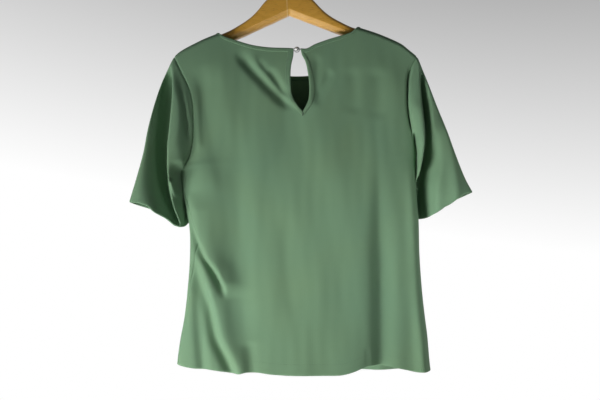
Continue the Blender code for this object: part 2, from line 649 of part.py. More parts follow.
def tilted(u, y, drop):
    """A place on the hanger after it has turned about the middle of its hook."""
    fallen = drop - HOOK_INNER_RADIUS
    x = u * math.cos(TILT) + fallen * math.sin(TILT)
    return x, y, -(HOOK_INNER_RADIUS + fallen * math.cos(TILT) - u * math.sin(TILT))


def arm_section(u):
    """The wooden arm's cut at a place along it, as (y, drop) points all round."""
    top, bottom, half = (float(follow(ARMS, abs(u), "out", key)) for key in ("top", "bottom", "half_thick"))
    tall = bottom - top
    rounded = min(ARM_TOP_ROUND, 0.45 * tall)
    chamfer = min(ARM_CHAMFER, 0.4 * tall)
    near = []
    for degrees in (90, 60, 30, 0):
        turn = math.radians(degrees)
        near.append((half * math.cos(turn), top + rounded * (1 - math.sin(turn))))
    near += [(half, bottom - chamfer), (0.5 * half, bottom)]
    far = [(-y, drop) for y, drop in reversed(near)]
    return near + far[:-1]


def hanger_arm(name, side, material, home):
    """One half of the hanger, from the glue line out to the tip of its arm."""
    start = GLUE_LINE + side * SEAM_GAP / 2
    stations = [start] + [side * row.out for row in ARMS if row.out > abs(start)]
    if side > 0:
        stations.insert(1, 0.0)
    mesh = bmesh.new()
    rings = [[mesh.verts.new([v * MM for v in tilted(u, y, drop)]) for y, drop in arm_section(u)] for u in stations]
    for first, second in zip(rings, rings[1:]):
        for k in range(len(first)):
            after = (k + 1) % len(first)
            mesh.faces.new((first[k], second[k], second[after], first[after]))
    mesh.faces.new(rings[0])
    mesh.faces.new(rings[-1][::-1])
    bmesh.ops.recalc_face_normals(mesh, faces=mesh.faces)
    data = bpy.data.meshes.new(name)
    mesh.to_mesh(data)
    mesh.free()
    data.shade_smooth()
    data.set_sharp_from_angle(angle=math.radians(40))
    data.materials.append(material)
    made = bpy.data.objects.new(name, data)
    home.objects.link(made)
    return made


def hanger_hook(material, home):
    """The wire hook: an arc over the rail, then a bend into the stem that stands on the wood."""
    radius = HOOK_INNER_RADIUS + WIRE_RADIUS
    route = []
    for degrees in HOOK_ARC:
        turn = math.radians(degrees)
        route.append((radius * math.cos(turn), HOOK_INNER_RADIUS - radius * math.sin(turn)))
    route += HOOK_STEM
    wire("hanger_hook", [tilted(u, 0.0, drop) for u, drop in route], WIRE_RADIUS, material, home)


def button_and_loop(button_material, thread_material, home):
    """The ball button between the keyhole's top corners, its thread shank, and the loop that goes round it."""
    middle = np.array(BUTTON_PLACE) + (SHIRT_X, 0.0, 0.0)
    mesh = bmesh.new()
    bmesh.ops.create_uvsphere(mesh, u_segments=16, v_segments=10, radius=BUTTON_RADIUS * MM)
    data = bpy.data.meshes.new("button")
    mesh.to_mesh(data)
    mesh.free()
    data.shade_smooth()
    data.materials.append(button_material)
    ball = bpy.data.objects.new("button", data)
    ball.location = middle * MM
    home.objects.link(ball)

    wire("button_shank", [middle + place for place in SHANK], THREAD_RADIUS, thread_material, home)
    ring = BUTTON_RADIUS + THREAD_RADIUS + SEAM_GAP
    route = [middle + LOOP_ENDS[0]]
    for degrees in LOOP_ARC:
        turn = math.radians(degrees)
        route.append(middle + (ring * math.cos(turn), LOOP_BEHIND, ring * math.sin(turn)))
    route.append(middle + LOOP_ENDS[1])
    wire("button_loop", route, THREAD_RADIUS, thread_material, home)


def new_material(name, colour, roughness, metallic=0.0):
    material = bpy.data.materials.new(name)
    material.use_nodes = True
    shader = material.node_tree.nodes["Principled BSDF"]
    shader.inputs["Base Color"].default_value = (*colour, 1.0)
    shader.inputs["Roughness"].default_value = roughness
    shader.inputs["Metallic"].default_value = metallic
    return material


def clear_scene():
    for found in list(bpy.data.objects):
        bpy.data.objects.remove(found, do_unlink=True)


def main():
    clear_scene()
    home = bpy.data.collections.new(COLLECTION)
    bpy.context.scene.collection.children.link(home)
    knit = new_material("green_knit", (0.12, 0.24, 0.14), 0.85)
    trim = new_material("green_trim", (0.1, 0.2, 0.12), 0.75)
    thread = new_material("dark_green_thread", (0.02, 0.04, 0.03), 0.7)
    pearl = new_material("pearl", (0.8, 0.8, 0.77), 0.2)
    wood = new_material("varnished_wood", (0.36, 0.18, 0.06), 0.4)
    steel = new_material("hook_steel", (0.75, 0.75, 0.75), 0.2, 1.0)

    back, front = panel_sheet("back"), panel_sheet("front")
    left = sleeve_sheet("left_sleeve", LEFT_SLEEVE, back, front, 0, (LEFT_CUFF_BACK, CUFF_FRONT),
                        (LEFT_SLEEVE_FOLDS, LEFT_SLEEVE_FRONT_FOLDS))
    right = sleeve_sheet("right_sleeve", RIGHT_SLEEVE, back, front, -1, (RIGHT_CUFF_BACK, CUFF_FRONT),
                         (RIGHT_SLEEVE_FOLDS, RIGHT_SLEEVE_FRONT_FOLDS))
    sheets = (back, front, left, right)
    normals = share_seam_normals(sheets)
    for sheet in sheets:
        points = draw_back_from_seams(sheet, normals[sheet.name])
        wall_object(sheet.name, points, normals[sheet.name], sheet.faces, WALL, 0.0, knit, home)
    neck_and_keyhole_bands(back, front, normals, trim, home)
    button_and_loop(pearl, thread, home)
    hanger_arm("hanger_left_arm", -1, wood, home)
    hanger_arm("hanger_right_arm", 1, wood, home)
    hanger_hook(steel, home)


main()
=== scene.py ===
# %% [markdown]
# A short-sleeve knit shirt with a buttoned keyhole back hangs on a wooden hanger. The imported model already
# has every cut piece, the button and the hanger as plain solids in their true places. This lesson dresses
# them: fine cloth with its folds, bound edges, sewing, a glassy button, grained wood and a polished hook.

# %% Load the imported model
import json
import math
from collections import namedtuple

import bmesh
import bpy
import numpy as np
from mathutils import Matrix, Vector
from mathutils.bvhtree import BVHTree

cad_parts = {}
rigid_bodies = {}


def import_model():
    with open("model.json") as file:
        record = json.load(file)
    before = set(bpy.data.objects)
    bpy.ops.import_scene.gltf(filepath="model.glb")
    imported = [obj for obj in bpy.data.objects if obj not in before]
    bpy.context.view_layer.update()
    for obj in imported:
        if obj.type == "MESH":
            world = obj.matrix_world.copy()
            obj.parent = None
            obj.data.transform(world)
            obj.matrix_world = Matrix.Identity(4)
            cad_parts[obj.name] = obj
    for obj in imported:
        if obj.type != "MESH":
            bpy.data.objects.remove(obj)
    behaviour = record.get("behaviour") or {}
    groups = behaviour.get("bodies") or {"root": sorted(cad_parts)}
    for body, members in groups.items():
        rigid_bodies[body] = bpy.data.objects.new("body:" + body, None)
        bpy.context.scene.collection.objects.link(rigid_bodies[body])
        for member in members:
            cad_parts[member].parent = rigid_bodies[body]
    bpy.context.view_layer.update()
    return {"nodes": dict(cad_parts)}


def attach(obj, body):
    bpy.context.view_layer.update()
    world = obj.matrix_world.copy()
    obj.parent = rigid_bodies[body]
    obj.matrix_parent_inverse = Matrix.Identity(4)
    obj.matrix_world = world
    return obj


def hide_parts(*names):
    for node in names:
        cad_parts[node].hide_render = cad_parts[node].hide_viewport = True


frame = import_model()
MM = 0.001
print("nodes:", ", ".join(sorted(frame["nodes"])))

# %% [markdown]
# The camera looks squarely at the shirt's back from a little over a metre. The eye is level with the waist
# and looks slightly up, and a small shift does the rest of the framing, so the sides of the shirt stay
# nearly parallel.

# %% Set up the camera
EYE = Vector((0.0239, -1.30, -0.617))
LENS_MM = 41.9
LOOK_UP = math.radians(3.0)
SHIFT_UP = 0.058

camera_data = bpy.data.cameras.new("camera")
camera_data.lens = LENS_MM
camera_data.shift_y = SHIFT_UP
camera = bpy.data.objects.new("camera", camera_data)
camera.location = EYE
camera.rotation_euler = (math.pi / 2 + LOOK_UP, 0.0, 0.0)
bpy.context.scene.collection.objects.link(camera)
bpy.context.scene.camera = camera
print("camera at", tuple(round(value, 3) for value in camera.location))

# %% [markdown]
# Shader sums read best as plain Python, so a small class wraps a node's output and turns each operator into
# a Math node. A second class holds any node tree and makes all its other nodes: its settings first, then
# its sockets.

# %% Write node trees as expressions
class Value:
    """The output of a node, which can be added, subtracted and multiplied."""

    def __init__(self, nodes, socket):
        self.nodes, self.socket = nodes, socket

    def sum_node(self, operation, first, second):
        return self.nodes.node("ShaderNodeMath", {"operation": operation}, {0: first, 1: second})

    def __add__(self, other):
        return self.sum_node("ADD", self, other)

    def __sub__(self, other):
        return self.sum_node("SUBTRACT", self, other)

    def __rsub__(self, other):
        return self.sum_node("SUBTRACT", other, self)

    def __mul__(self, other):
        return self.sum_node("MULTIPLY", self, other)

    def at_least(self, other):
        return self.sum_node("MAXIMUM", self, other)

    __radd__, __rmul__ = __add__, __mul__


class Nodes:
    """A node tree whose nodes are made one at a time."""

    def __init__(self, tree):
        self.tree = tree

    def feed(self, socket, value):
        if isinstance(value, Value):
            self.tree.links.new(value.socket, socket)
        else:
            socket.default_value = value

    def node(self, kind, settings=None, inputs=None, output=0):
        """A node of any kind: its settings first, then the values or links of its sockets."""
        node = self.tree.nodes.new(kind)
        for key, value in (settings or {}).items():
            if key == "stops":
                ramp = node.color_ramp
                while len(ramp.elements) < len(value):
                    ramp.elements.new(0.5)
                for element, (place, colour) in zip(ramp.elements, value):
                    element.position = place
                    element.color = colour
            else:
                setattr(node, key, value)
        for key, value in (inputs or {}).items():
            self.feed(node.inputs[key], value)
        return Value(self, node.outputs[output])

    def noise(self, where, scale, detail=2.0, roughness=0.5):
        inputs = {"Vector": where, "Scale": scale, "Detail": detail, "Roughness": roughness}
        return self.node("ShaderNodeTexNoise", None, inputs)

    def ramp(self, value, *stops):
        return self.node("ShaderNodeValToRGB", {"stops": stops}, {"Fac": value})

    def mix(self, share, first, second):
        return self.node("ShaderNodeMix", {"data_type": "RGBA"}, {0: share, 6: first, 7: second}, 2)


class Shader(Nodes):
    """A material: constants go straight on to its surface shader, patterns are linked to it."""

    def __init__(self, name, **constants):
        self.material = bpy.data.materials.new(name)
        self.material.use_nodes = True
        super().__init__(self.material.node_tree)
        self.surface = self.tree.nodes["Principled BSDF"]
        for key, value in constants.items():
            self.surface.inputs[key.replace("_", " ")].default_value = value

    def place(self, scale, turn=(0.0, 0.0, 0.0), source="Object"):
        """Coordinates on the piece, scaled and turned."""
        where = self.node("ShaderNodeTexCoord", output=source)
        return self.node("ShaderNodeMapping", None, {"Vector": where, "Scale": scale, "Rotation": turn})

    def wears(self, socket, value):
        self.feed(self.surface.inputs[socket], value)

    def bump(self, height, depth_mm, strength=1.0):
        inputs = {"Height": height, "Distance": depth_mm * MM, "Strength": strength}
        self.wears("Normal", self.node("ShaderNodeBump", None, inputs))


print("node helpers ready")

# %% [markdown]
# Light: two soft sources stand low on the left, as windows do, one near and one further out, so folds that
# face left and down are the pale ones and the shoulders stay dark. A pale board gives a little of it back
# on the right. The sky does the rest: behind the shirt it is the white studio wall, which turns grey
# towards the top right, and on the camera's side it is dim, so that the folds keep their shadows. The pale
# floor lies well below the shirt and fades out towards its rim.

# %% Light the room
WINDOW_WHITE = (1.0, 1.0, 0.98)


def softbox(name, place, target, size, spread, watts):
    """A square area light that the camera doesn't see. Its beam fades out towards the spread's sides."""
    data = bpy.data.lights.new(name, "AREA")
    data.size = size
    data.spread = math.radians(spread)
    data.energy = watts
    data.color = WINDOW_WHITE
    light = bpy.data.objects.new(name, data)
    light.location = place
    light.rotation_euler = (Vector(target) - Vector(place)).to_track_quat("-Z", "Y").to_euler()
    light.visible_camera = False
    bpy.context.scene.collection.objects.link(light)


softbox("low_window", (-0.9, -0.85, -1.45), (0.25, 0.0, -0.85), 0.5, 64, 9.5)
softbox("side_window", (-2.1, -0.9, -1.75), (0.16, 0.0, -0.8), 0.6, 90, 16.5)
softbox("pale_board", (0.95, -1.0, -1.45), (0.32, 0.0, -0.75), 0.5, 38, 1.5)

WALL_TOP_GREY = 1.7
world = bpy.data.worlds.new("studio")
world.use_nodes = True
sky = Nodes(world.node_tree)
looks_to = sky.node("ShaderNodeTexCoord", output="Generated")
to_right, to_back, to_top = (
    sky.node("ShaderNodeSeparateXYZ", None, {"Vector": looks_to}, output=axis) for axis in range(3)
)
shade = (to_top + to_right * 0.15 - 0.08).at_least(0.0) * WALL_TOP_GREY
wall = (1.0 - shade).at_least(0.3)
behind = sky.ramp(to_back * 0.5 + 0.5, (0.42, (0, 0, 0, 1)), (0.8, (1, 1, 1, 1)))
dim = sky.ramp(to_top * 0.5 + 0.5, (0.1, (0.11, 0.11, 0.11, 1)), (0.75, (0.05, 0.05, 0.055, 1)))
wall_colour = sky.mix(wall, (0.0, 0.0, 0.0, 1.0), (1.0, 1.0, 1.0, 1.0))
background = world.node_tree.nodes["Background"]
sky.feed(background.inputs["Color"], sky.mix(behind, dim, wall_colour))
bpy.context.scene.world = world
bpy.context.scene.view_settings.view_transform = "Standard"

FLOOR_Z = -1.32
FLOOR_RADIUS = 2.1
floor_mesh = bmesh.new()
bmesh.ops.create_circle(floor_mesh, cap_ends=True, segments=96, radius=FLOOR_RADIUS)
bmesh.ops.translate(floor_mesh, verts=floor_mesh.verts, vec=(0.0, 0.0, FLOOR_Z))
floor_data = bpy.data.meshes.new("floor")
floor_mesh.to_mesh(floor_data)
floor_mesh.free()
floor = bpy.data.objects.new("floor", floor_data)
bpy.context.scene.collection.objects.link(floor)
pale = Shader("pale_floor", Roughness=0.9)
flat_place = pale.place((1.0, 1.0, 0.0))
centre_out = pale.node("ShaderNodeVectorMath", {"operation": "LENGTH"}, {0: flat_place}, "Value")
pale.wears("Alpha", pale.ramp(centre_out * (1 / FLOOR_RADIUS), (0.45, (1, 1, 1, 1)), (0.98, (0, 0, 0, 1))))
patchy = pale.noise(pale.place((1.0, 1.0, 1.0)), 3.0)
pale.wears("Base Color", pale.mix(patchy, (0.78, 0.78, 0.78, 1), (0.84, 0.84, 0.83, 1)))
floor_data.materials.append(pale.material)

# %% [markdown]
# The cloth is a crepe knit: matt, fine-grained, with a faint bloom where it turns away. Its wales run down
# the cloth, about a millimetre apart, so the pattern follows each piece's own UV map, which is measured in
# metres. Slow changes of shade, a little warmer and a little cooler, keep it from looking like plastic.

# %% Mix the cloth and its thread
KNIT_GREEN = (0.16, 0.276, 0.165)


def tinted(colour, red, green, blue):
    return (colour[0] * red, colour[1] * green, colour[2] * blue, 1.0)


def knit_material(name, colour, wale_mm=1.1):
    """Crepe knit: slow changes of shade, pale fibre ends and fine wales."""
    shader = Shader(name, Roughness=0.88, Sheen_Weight=0.12, Sheen_Roughness=0.45,
                    Sheen_Tint=(0.8, 0.95, 0.8, 1.0), Specular_IOR_Level=0.18)
    cloth = shader.place((1.0, 1.0, 1.0), source="UV")
    slow = shader.ramp(shader.noise(cloth, 7.0, 2.0), (0.3, (0, 0, 0, 1)), (0.7, (1, 1, 1, 1)))
    fine = shader.noise(cloth, 900.0, 3.0, 0.65)
    body = shader.mix(slow, tinted(colour, 0.96, 0.99, 1.03), tinted(colour, 1.04, 1.01, 0.97))
    shader.wears("Base Color", shader.mix(fine * 0.5, body, tinted(colour, 1.12, 1.12, 1.12)))
    bands = {"wave_type": "BANDS", "bands_direction": "X", "wave_profile": "SIN"}
    wales = shader.node("ShaderNodeTexWave", bands, {
        "Vector": cloth, "Scale": 0.05 / (wale_mm * MM) * math.pi,
        "Distortion": 1.2, "Detail": 1.0, "Detail Scale": 3.0,
    }, "Fac")
    shader.bump(wales * 0.35 + fine * 0.9, 0.16, 0.5)
    return shader.material


knit = knit_material("crepe_knit", KNIT_GREEN)
trim = knit_material("crepe_binding", tinted(KNIT_GREEN, 0.97, 0.97, 0.97)[:3], 0.9)


def thread_material(name, colour):
    """Twisted sewing thread: fine slanting plies."""
    shader = Shader(name, Roughness=0.55, Sheen_Weight=0.3, Sheen_Roughness=0.4)
    twist = shader.place((1.0, 1.0, 1.0), (0.5, 0.6, 0.4))
    plies = shader.node("ShaderNodeTexWave", {"wave_type": "BANDS"}, {"Vector": twist, "Scale": 900.0}, "Fac")
    shader.wears("Base Color", shader.mix(plies, tinted(colour, 0.6, 0.6, 0.6), tinted(colour, 1, 1, 1)))
    shader.bump(plies, 0.05)
    return shader.material


sewing_thread = thread_material("green_sewing_thread", (0.15, 0.25, 0.15))
# Real thread, but its near-black colour is painted shadow: it draws the shade of a sunken stitch line.
seam_thread_and_shadow = thread_material("seam_thread_painted_shadow", (0.05, 0.085, 0.052))
loop_thread = thread_material("dark_loop_thread", (0.02, 0.035, 0.022))
print("cloth materials:", knit.name, trim.name, sewing_thread.name, loop_thread.name)

# %% [markdown]
# The shirt's form comes from a few tables, in millimetres: where its edges, neckline and hems run, and how
# deep it hangs. The solids were made from such tables too, so the fine cloth lies where the solids lie.
# Each table is followed by a smooth curve. x runs across the shirt and a drop is a distance straight down.

# %% Tables of the shirt's outline
TILT = math.radians(2.0)
SHIRT_X = 7.2
HOOK_INNER_RADIUS = 17.0
WIRE_RADIUS = 1.75
ARM_COVER = 2.45
ARM_ROUND = 12.0
NECK_SHARE = 0.6
UNDERARM = 0.37
KEYHOLE_DOWN = UNDERARM * (7 / 13) ** 2 * (3 - 2 * 7 / 13)
LIP_REACH = 0.34
BODY_SQUARENESS = 2.4
ARMHOLE_DEPTH = 22.0
CUFF_DEPTH = 34.0
SLEEVE_BULGE = 8.0
SLEEVE_FULLNESS = 0.3

Edge = namedtuple("Edge", "drop x")
Level = namedtuple("Level", "drop back front")
Rise = namedtuple("Rise", "x drop")
Lip = namedtuple("Lip", "share x")
Swing = namedtuple("Swing", "drop degrees")
Arm = namedtuple("Arm", "out top bottom half_thick")
Sleeve = namedtuple("Sleeve", "share outer_x outer_drop inner_x inner_drop")
Fold = namedtuple("Fold", "x0 drop0 x1 drop1 bow left right start end runs_off crest", defaults=(2.0,))
Overlap = namedtuple("Overlap", "path fade_in fade_out side deep reach lip under crest_high crest_wide box",
                     defaults=(2,))

LEFT_TIP, LEFT_UNDERARM, LEFT_HEM = 214.0, 434.0, 786.0
LEFT_EDGE = (
    Edge(214, -220), Edge(247, -204), Edge(281, -188), Edge(325, -181), Edge(388, -184), Edge(418, -196),
    Edge(434, -209), Edge(480, -200), Edge(527, -190), Edge(572, -187), Edge(611, -188), Edge(661, -192),
    Edge(706, -197), Edge(739, -203), Edge(767, -207), Edge(786, -209),
)
RIGHT_TIP, RIGHT_UNDERARM, RIGHT_HEM = 213.0, 405.0, 797.0
RIGHT_EDGE = (
    Edge(213, 237), Edge(241, 222), Edge(275, 217), Edge(303, 216.5), Edge(348, 222), Edge(385, 229),
    Edge(405, 234), Edge(440, 233), Edge(480, 234), Edge(520, 237), Edge(583, 238), Edge(650, 242),
    Edge(700, 247), Edge(733, 251), Edge(784, 255), Edge(797, 256.5),
)
CENTRE = (Edge(150, 9), Edge(205, 10), Edge(330, 22), Edge(560, 24), Edge(800, 24))
DEPTHS = (
    Level(150, 20, 20), Level(205, 24, 24), Level(260, 28, 28), Level(330, 32, 34), Level(434, 41, 43),
    Level(560, 45, 47), Level(800, 49, 50),
)
LEFT_SWING = (
    Swing(434, 0), Swing(480, 11), Swing(527, 18), Swing(556, 24), Swing(577, 20), Swing(636, 12.5),
    Swing(661, 4), Swing(700, 0),
)
BACK_NECK = (
    Rise(-140.5, 170.6), Rise(-136, 171.8), Rise(-130, 177), Rise(-120, 182), Rise(-106, 187), Rise(-75, 197),
    Rise(-45, 202), Rise(4, 204), Rise(20, 205), Rise(43, 196), Rise(72, 186), Rise(103, 176), Rise(114, 171),
    Rise(120, 165.5), Rise(126, 159.8), Rise(130, 159),
)
FRONT_NECK = (
    Rise(-140.5, 170.6), Rise(-136, 172), Rise(-130, 179.5), Rise(-120, 193), Rise(-110, 203), Rise(-75, 224),
    Rise(-35, 238), Rise(10, 243), Rise(50, 239), Rise(85, 224), Rise(106, 204), Rise(114, 191),
    Rise(120, 174), Rise(126, 160.5), Rise(130, 159),
)
BACK_HEM = (
    Rise(-209, 786), Rise(-180, 790), Rise(-143, 792), Rise(-118, 795), Rise(-98, 799), Rise(-78, 795),
    Rise(-62, 795), Rise(-35, 798), Rise(10, 800), Rise(60, 800), Rise(92, 799), Rise(112, 794),
    Rise(134, 786), Rise(155, 784), Rise(180, 787), Rise(205, 792), Rise(232, 797), Rise(256.5, 797),
)
FRONT_HEM = (
    Rise(-209, 786), Rise(-150, 797), Rise(-60, 800), Rise(20, 803), Rise(110, 802), Rise(190, 799),
    Rise(256.5, 797),
)
LEFT_LIP = (
    Lip(0, 4), Lip(0.1, 3.5), Lip(0.26, -0.4), Lip(0.4, -1.6), Lip(0.58, -1), Lip(0.75, 2), Lip(0.87, 9.4),
    Lip(1, 22),
)
RIGHT_LIP = (
    Lip(0, 18), Lip(0.1, 21), Lip(0.2, 27), Lip(0.37, 31.6), Lip(0.54, 34.5), Lip(0.7, 35), Lip(0.85, 31.6),
    Lip(1, 22),
)
ARMS = (
    Arm(0, 62, 132, 11), Arm(9, 62, 136, 11), Arm(13, 65, 137.5, 11), Arm(20, 77, 140.5, 11),
    Arm(32, 93, 146, 11), Arm(47, 107, 152, 11), Arm(58, 120, 157, 11), Arm(70, 132, 162, 11),
    Arm(82, 141, 167.5, 10.8), Arm(97, 150, 173.5, 10.5), Arm(113, 158.5, 180, 10.2),
    Arm(128, 164.5, 186, 9.8), Arm(140, 168.7, 190, 9.5), Arm(162, 176.8, 198, 9), Arm(175, 182.5, 203, 8.7),
    Arm(188, 188.5, 207.5, 8.4), Arm(200, 194.5, 211.5, 8), Arm(210, 200.5, 214, 7),
    Arm(215, 204.5, 215, 5.5), Arm(217, 208, 213.5, 3.5),
)
BEYOND_ARM = (Arm(222, 208.6, 0, 0), Arm(230, 215.5, 0, 0), Arm(240, 224.5, 0, 0), Arm(250, 233, 0, 0))
print("outline tables for", len(LEFT_EDGE) + len(RIGHT_EDGE), "edge places")

# %% [markdown]
# Folds are what make cloth read as cloth. Each one is a line on the shirt with a half width on either side
# and a height at each end: a ridge stands out, a trough (a minus height) sinks in. They were placed one by
# one, long and short, deep and faint, where the shirt hangs from the hanger's ends and from the keyhole's
# tip.

# %% Tables of the folds
BACK_FOLDS = (
    # From the left shoulder down to the keyhole
    Fold(-102, 208, 2, 318, -3, 9, 12, -8, -8, False),
    Fold(-80, 216, 0, 300, -2, 8, 9, 4, 4, False),
    Fold(-66, 222, -4, 296, 0, 6, 7, -3, -5, False),
    Fold(-42, 240, -7, 300, 2, 7, 7, -4, -3, False),
    Fold(-20, 286, 14, 316, 0, 5, 6, 3, 3, False),
    # To the right of the keyhole
    Fold(76, 244, 42, 312, 0, 8, 8, -3, -3, False),
    Fold(48, 214, 44, 300, 2, 8, 9, -2, -3, False),
    Fold(114, 240, 112, 330, 0, 16, 16, -2, -2, False),
    Fold(160, 240, 158, 340, 2, 18, 16, -3, -2, False),
    # From the left armhole down across the back
    Fold(-166, 236, -120, 470, -5, 18, 30, -7, -3, False),
    Fold(-180, 296, -168, 400, 0, 7, 8, 3, 2, False),
    # The rise beside the right side seam and a short nick in the hem
    Fold(226, 400, 244, 800, 0, 16, 14, 8, 15, True),
    Fold(136, 750, 137, 800, 0, 2.6, 2.6, -1.5, -3.5, True),
    # The trough between the two ridges on the left, and the soft trough beyond them
    Fold(-178, 612, -158, 790, 0, 10, 10, -6, -7, True),
    Fold(-98, 330, -88, 770, -2, 34, 24, -5, -10, False),
    Fold(-74, 740, -70, 800, 0, 14, 14, -2, -6, True),
    # Faint hang in the middle and the lift of the hem
    Fold(-10, 508, -4, 700, 0, 16, 16, -2, -2, False),
    Fold(70, 430, 76, 760, 3, 30, 30, -2, -3, False),
    Fold(20, 560, 20, 800, 0, 80, 70, 0, 7, True),
)
FRONT_FOLDS = (
    Fold(-186, 440, -96, 700, 8, 16, 28, 9, 6, False),
    Fold(-150, 560, -118, 800, 0, 22, 22, -7, -20, True),
    Fold(196, 430, 150, 640, 8, 26, 18, 9, 7, False),
    Fold(176, 540, 168, 800, 0, 22, 26, -6, -22, True),
    Fold(60, 500, 66, 800, 0, 26, 26, -2, -11, True),
    Fold(-40, 470, -34, 800, 0, 28, 28, -2, -9, True),
    Fold(-132, 190, -60, 300, -4, 14, 16, -5, -4, False),
    Fold(122, 190, 66, 300, 4, 16, 14, -5, -4, False),
    Fold(-176, 260, -110, 420, -5, 18, 26, -6, -5, False),
    Fold(206, 260, 150, 420, 5, 26, 18, -6, -5, False),
    Fold(-112, 214, -36, 330, -3, 8, 9, -4, -2, False),
    Fold(100, 212, 40, 318, 3, 9, 8, -4, -2, False),
    Fold(-150, 470, -84, 640, 4, 9, 14, -5, -3, False),
    Fold(168, 500, 128, 700, 4, 12, 8, -5, -4, False),
    Fold(-92, 620, -84, 800, 0, 10, 12, 3, 6, True),
    Fold(116, 640, 112, 800, 0, 12, 10, 3, 7, True),
    Fold(8, 620, 12, 800, 0, 16, 16, 2, 5, True),
)
LEFT_SLEEVE = (
    Sleeve(0, -220, 214, -209, 434), Sleeve(0.17, -242, 262, -211, 441),
    Sleeve(0.34, -256, 309, -208, 453), Sleeve(0.5, -266, 354, -203, 467),
    Sleeve(0.67, -273.5, 399, -199, 483), Sleeve(0.83, -284.5, 443, -195, 501),
    Sleeve(1, -297.5, 488, -190, 520),
)
RIGHT_SLEEVE = (
    Sleeve(0, 237, 213, 234, 405), Sleeve(0.17, 253, 257, 238, 408), Sleeve(0.34, 271, 309, 234, 428),
    Sleeve(0.5, 288, 354, 231, 448), Sleeve(0.67, 303, 399, 231, 470), Sleeve(0.83, 320, 443, 232, 492),
    Sleeve(1, 334, 470, 234, 516),
)
LEFT_CUFF_BACK = (
    Rise(0, 0), Rise(0.3, -3), Rise(0.45, 5), Rise(0.6, 9), Rise(0.8, 18), Rise(0.93, 13), Rise(1, 0),
)
RIGHT_CUFF_BACK = (Rise(0, 0), Rise(0.2, -3), Rise(0.45, 3), Rise(0.6, 4), Rise(0.8, 8), Rise(1, 0))
CUFF_FRONT = (Rise(0, 0), Rise(0.25, 0), Rise(0.5, 6), Rise(0.75, 8), Rise(1, 0))
SLEEVE_TUCK = 13.0
PRESSED_THROUGH = 17.0
LEFT_SLEEVE_FOLDS = (
    Fold(-205, 416, -197, 530, 0, 11, 14, -40, -44, True),
    Fold(-208, 252, -189, 374, 2, 5, 4, -5, -8, False),
    Fold(-199, 262, -184, 350, 0, 4, 4, 3, 3, False),
    Fold(-219, 448, -208, 484, 0, 4, 4, 12, 10, False),
    Fold(-206, 236, -206, 420, 0, 16, 12, 5, 5, False),
)
LEFT_SLEEVE_OVERLAPS = (
    Overlap((Edge(214, -223), Edge(283, -221), Edge(357, -225), Edge(387, -227), Edge(434, -226),
             Edge(464, -223), Edge(504, -214), Edge(530, -205)),
            (222, 290), (510, 540), 1, 130, 18, 2.4, 11, 2, 20, 1.6),
)
RIGHT_SLEEVE_FOLDS = (
    Fold(236, 300, 243, 400, 0, 10, 8, 3, 4, False),
    Fold(292, 330, 304, 490, 0, 12, 10, 3, 5, True),
)
RIGHT_SLEEVE_OVERLAPS = (
    Overlap((Edge(214, 238), Edge(237, 239), Edge(280, 241), Edge(326, 244), Edge(355, 246),
             Edge(384, 245.5), Edge(413, 241.5), Edge(434, 237), Edge(456, 232), Edge(503, 231)),
            (222, 330), (440, 510), -1, 60, 5, 2.2, 5, 1, 12, 1.7),
    Overlap((Edge(370, 246), Edge(413, 241.5), Edge(434, 237), Edge(456, 232), Edge(503, 231)),
            (350, 478), (530, 545), -1, 150, 17, 2.6, 4, 0, 12, 2.4),
    Overlap((Edge(352, 233), Edge(378, 233.5), Edge(400, 236), Edge(440, 235)),
            (355, 380), (420, 450), 1, 30, 5, 3, 2, 0, 5),
)
LEFT_SLEEVE_FRONT_FOLDS = (
    Fold(-232, 260, -236, 520, 4, 16, 12, -6, -18, True),
    Fold(-256, 330, -270, 500, 2, 9, 9, 3, 5, True),
)
RIGHT_SLEEVE_FRONT_FOLDS = (
    Fold(246, 260, 268, 520, -4, 12, 16, -6, -18, True),
    Fold(292, 340, 304, 500, -2, 9, 9, 3, 5, True),
)
BACK_OVERLAPS = (
    # The two bright ridges on the left, each sharp on its left side over a dark trough
    Overlap((Edge(471, -188), Edge(527, -176), Edge(555, -166.5), Edge(592, -149), Edge(616, -132),
             Edge(640, -119), Edge(655, -114)),
            (466, 510), (636, 668), 1, 8, 9, 5.5, 1, 9, 30),
    Overlap((Edge(581, -168), Edge(631, -153), Edge(685, -134), Edge(741, -119), Edge(775, -101),
             Edge(800, -89)),
            (574, 640), (840, 860), 1, 11, 12, 9, 1, 8, 26),
    # The long soft trough on the right
    Overlap((Edge(380, 197), Edge(560, 195), Edge(800, 196)),
            (380, 640), (840, 860), 1, 20, 11, 21, 0, 0, 30, 1.5),
)
print("folds:", len(BACK_FOLDS), "on the back and", len(FRONT_FOLDS), "on the front")

# %% [markdown]
# The next helpers follow a table, lay the folds on a surface, and say how far the cloth drops where it lies
# on the hanger. A very slow, shallow ripple with a fixed seed goes over everything, because real cloth is
# never true.

# %% Follow the tables
def blend(a, b, share):
    return a + (b - a) * share


def ease(share):
    share = np.clip(share, 0.0, 1.0)
    return share * share * (3.0 - 2.0 * share)


def follow(table, at, key, value):
    """A smooth curve through the rows of a table, flat past both ends."""
    xs = np.array([getattr(row, key) for row in table], float)
    ys = np.array([getattr(row, value) for row in table], float)
    steps = np.diff(xs)
    slopes = np.diff(ys) / steps
    tangents = np.empty_like(ys)
    tangents[1:-1] = np.where(slopes[1:] * slopes[:-1] > 0, (slopes[1:] + slopes[:-1]) / 2, 0.0)
    tangents[0], tangents[-1] = slopes[0], slopes[-1]
    at = np.clip(np.asarray(at, float), xs[0], xs[-1])
    i = np.clip(np.searchsorted(xs, at, side="right") - 1, 0, len(steps) - 1)
    t = (at - xs[i]) / steps[i]
    rise = ys[i] * (2 * t**3 - 3 * t**2 + 1) + ys[i + 1] * (3 * t**2 - 2 * t**3)
    return rise + steps[i] * (tangents[i] * (t**3 - 2 * t**2 + t) + tangents[i + 1] * (t**3 - t**2))


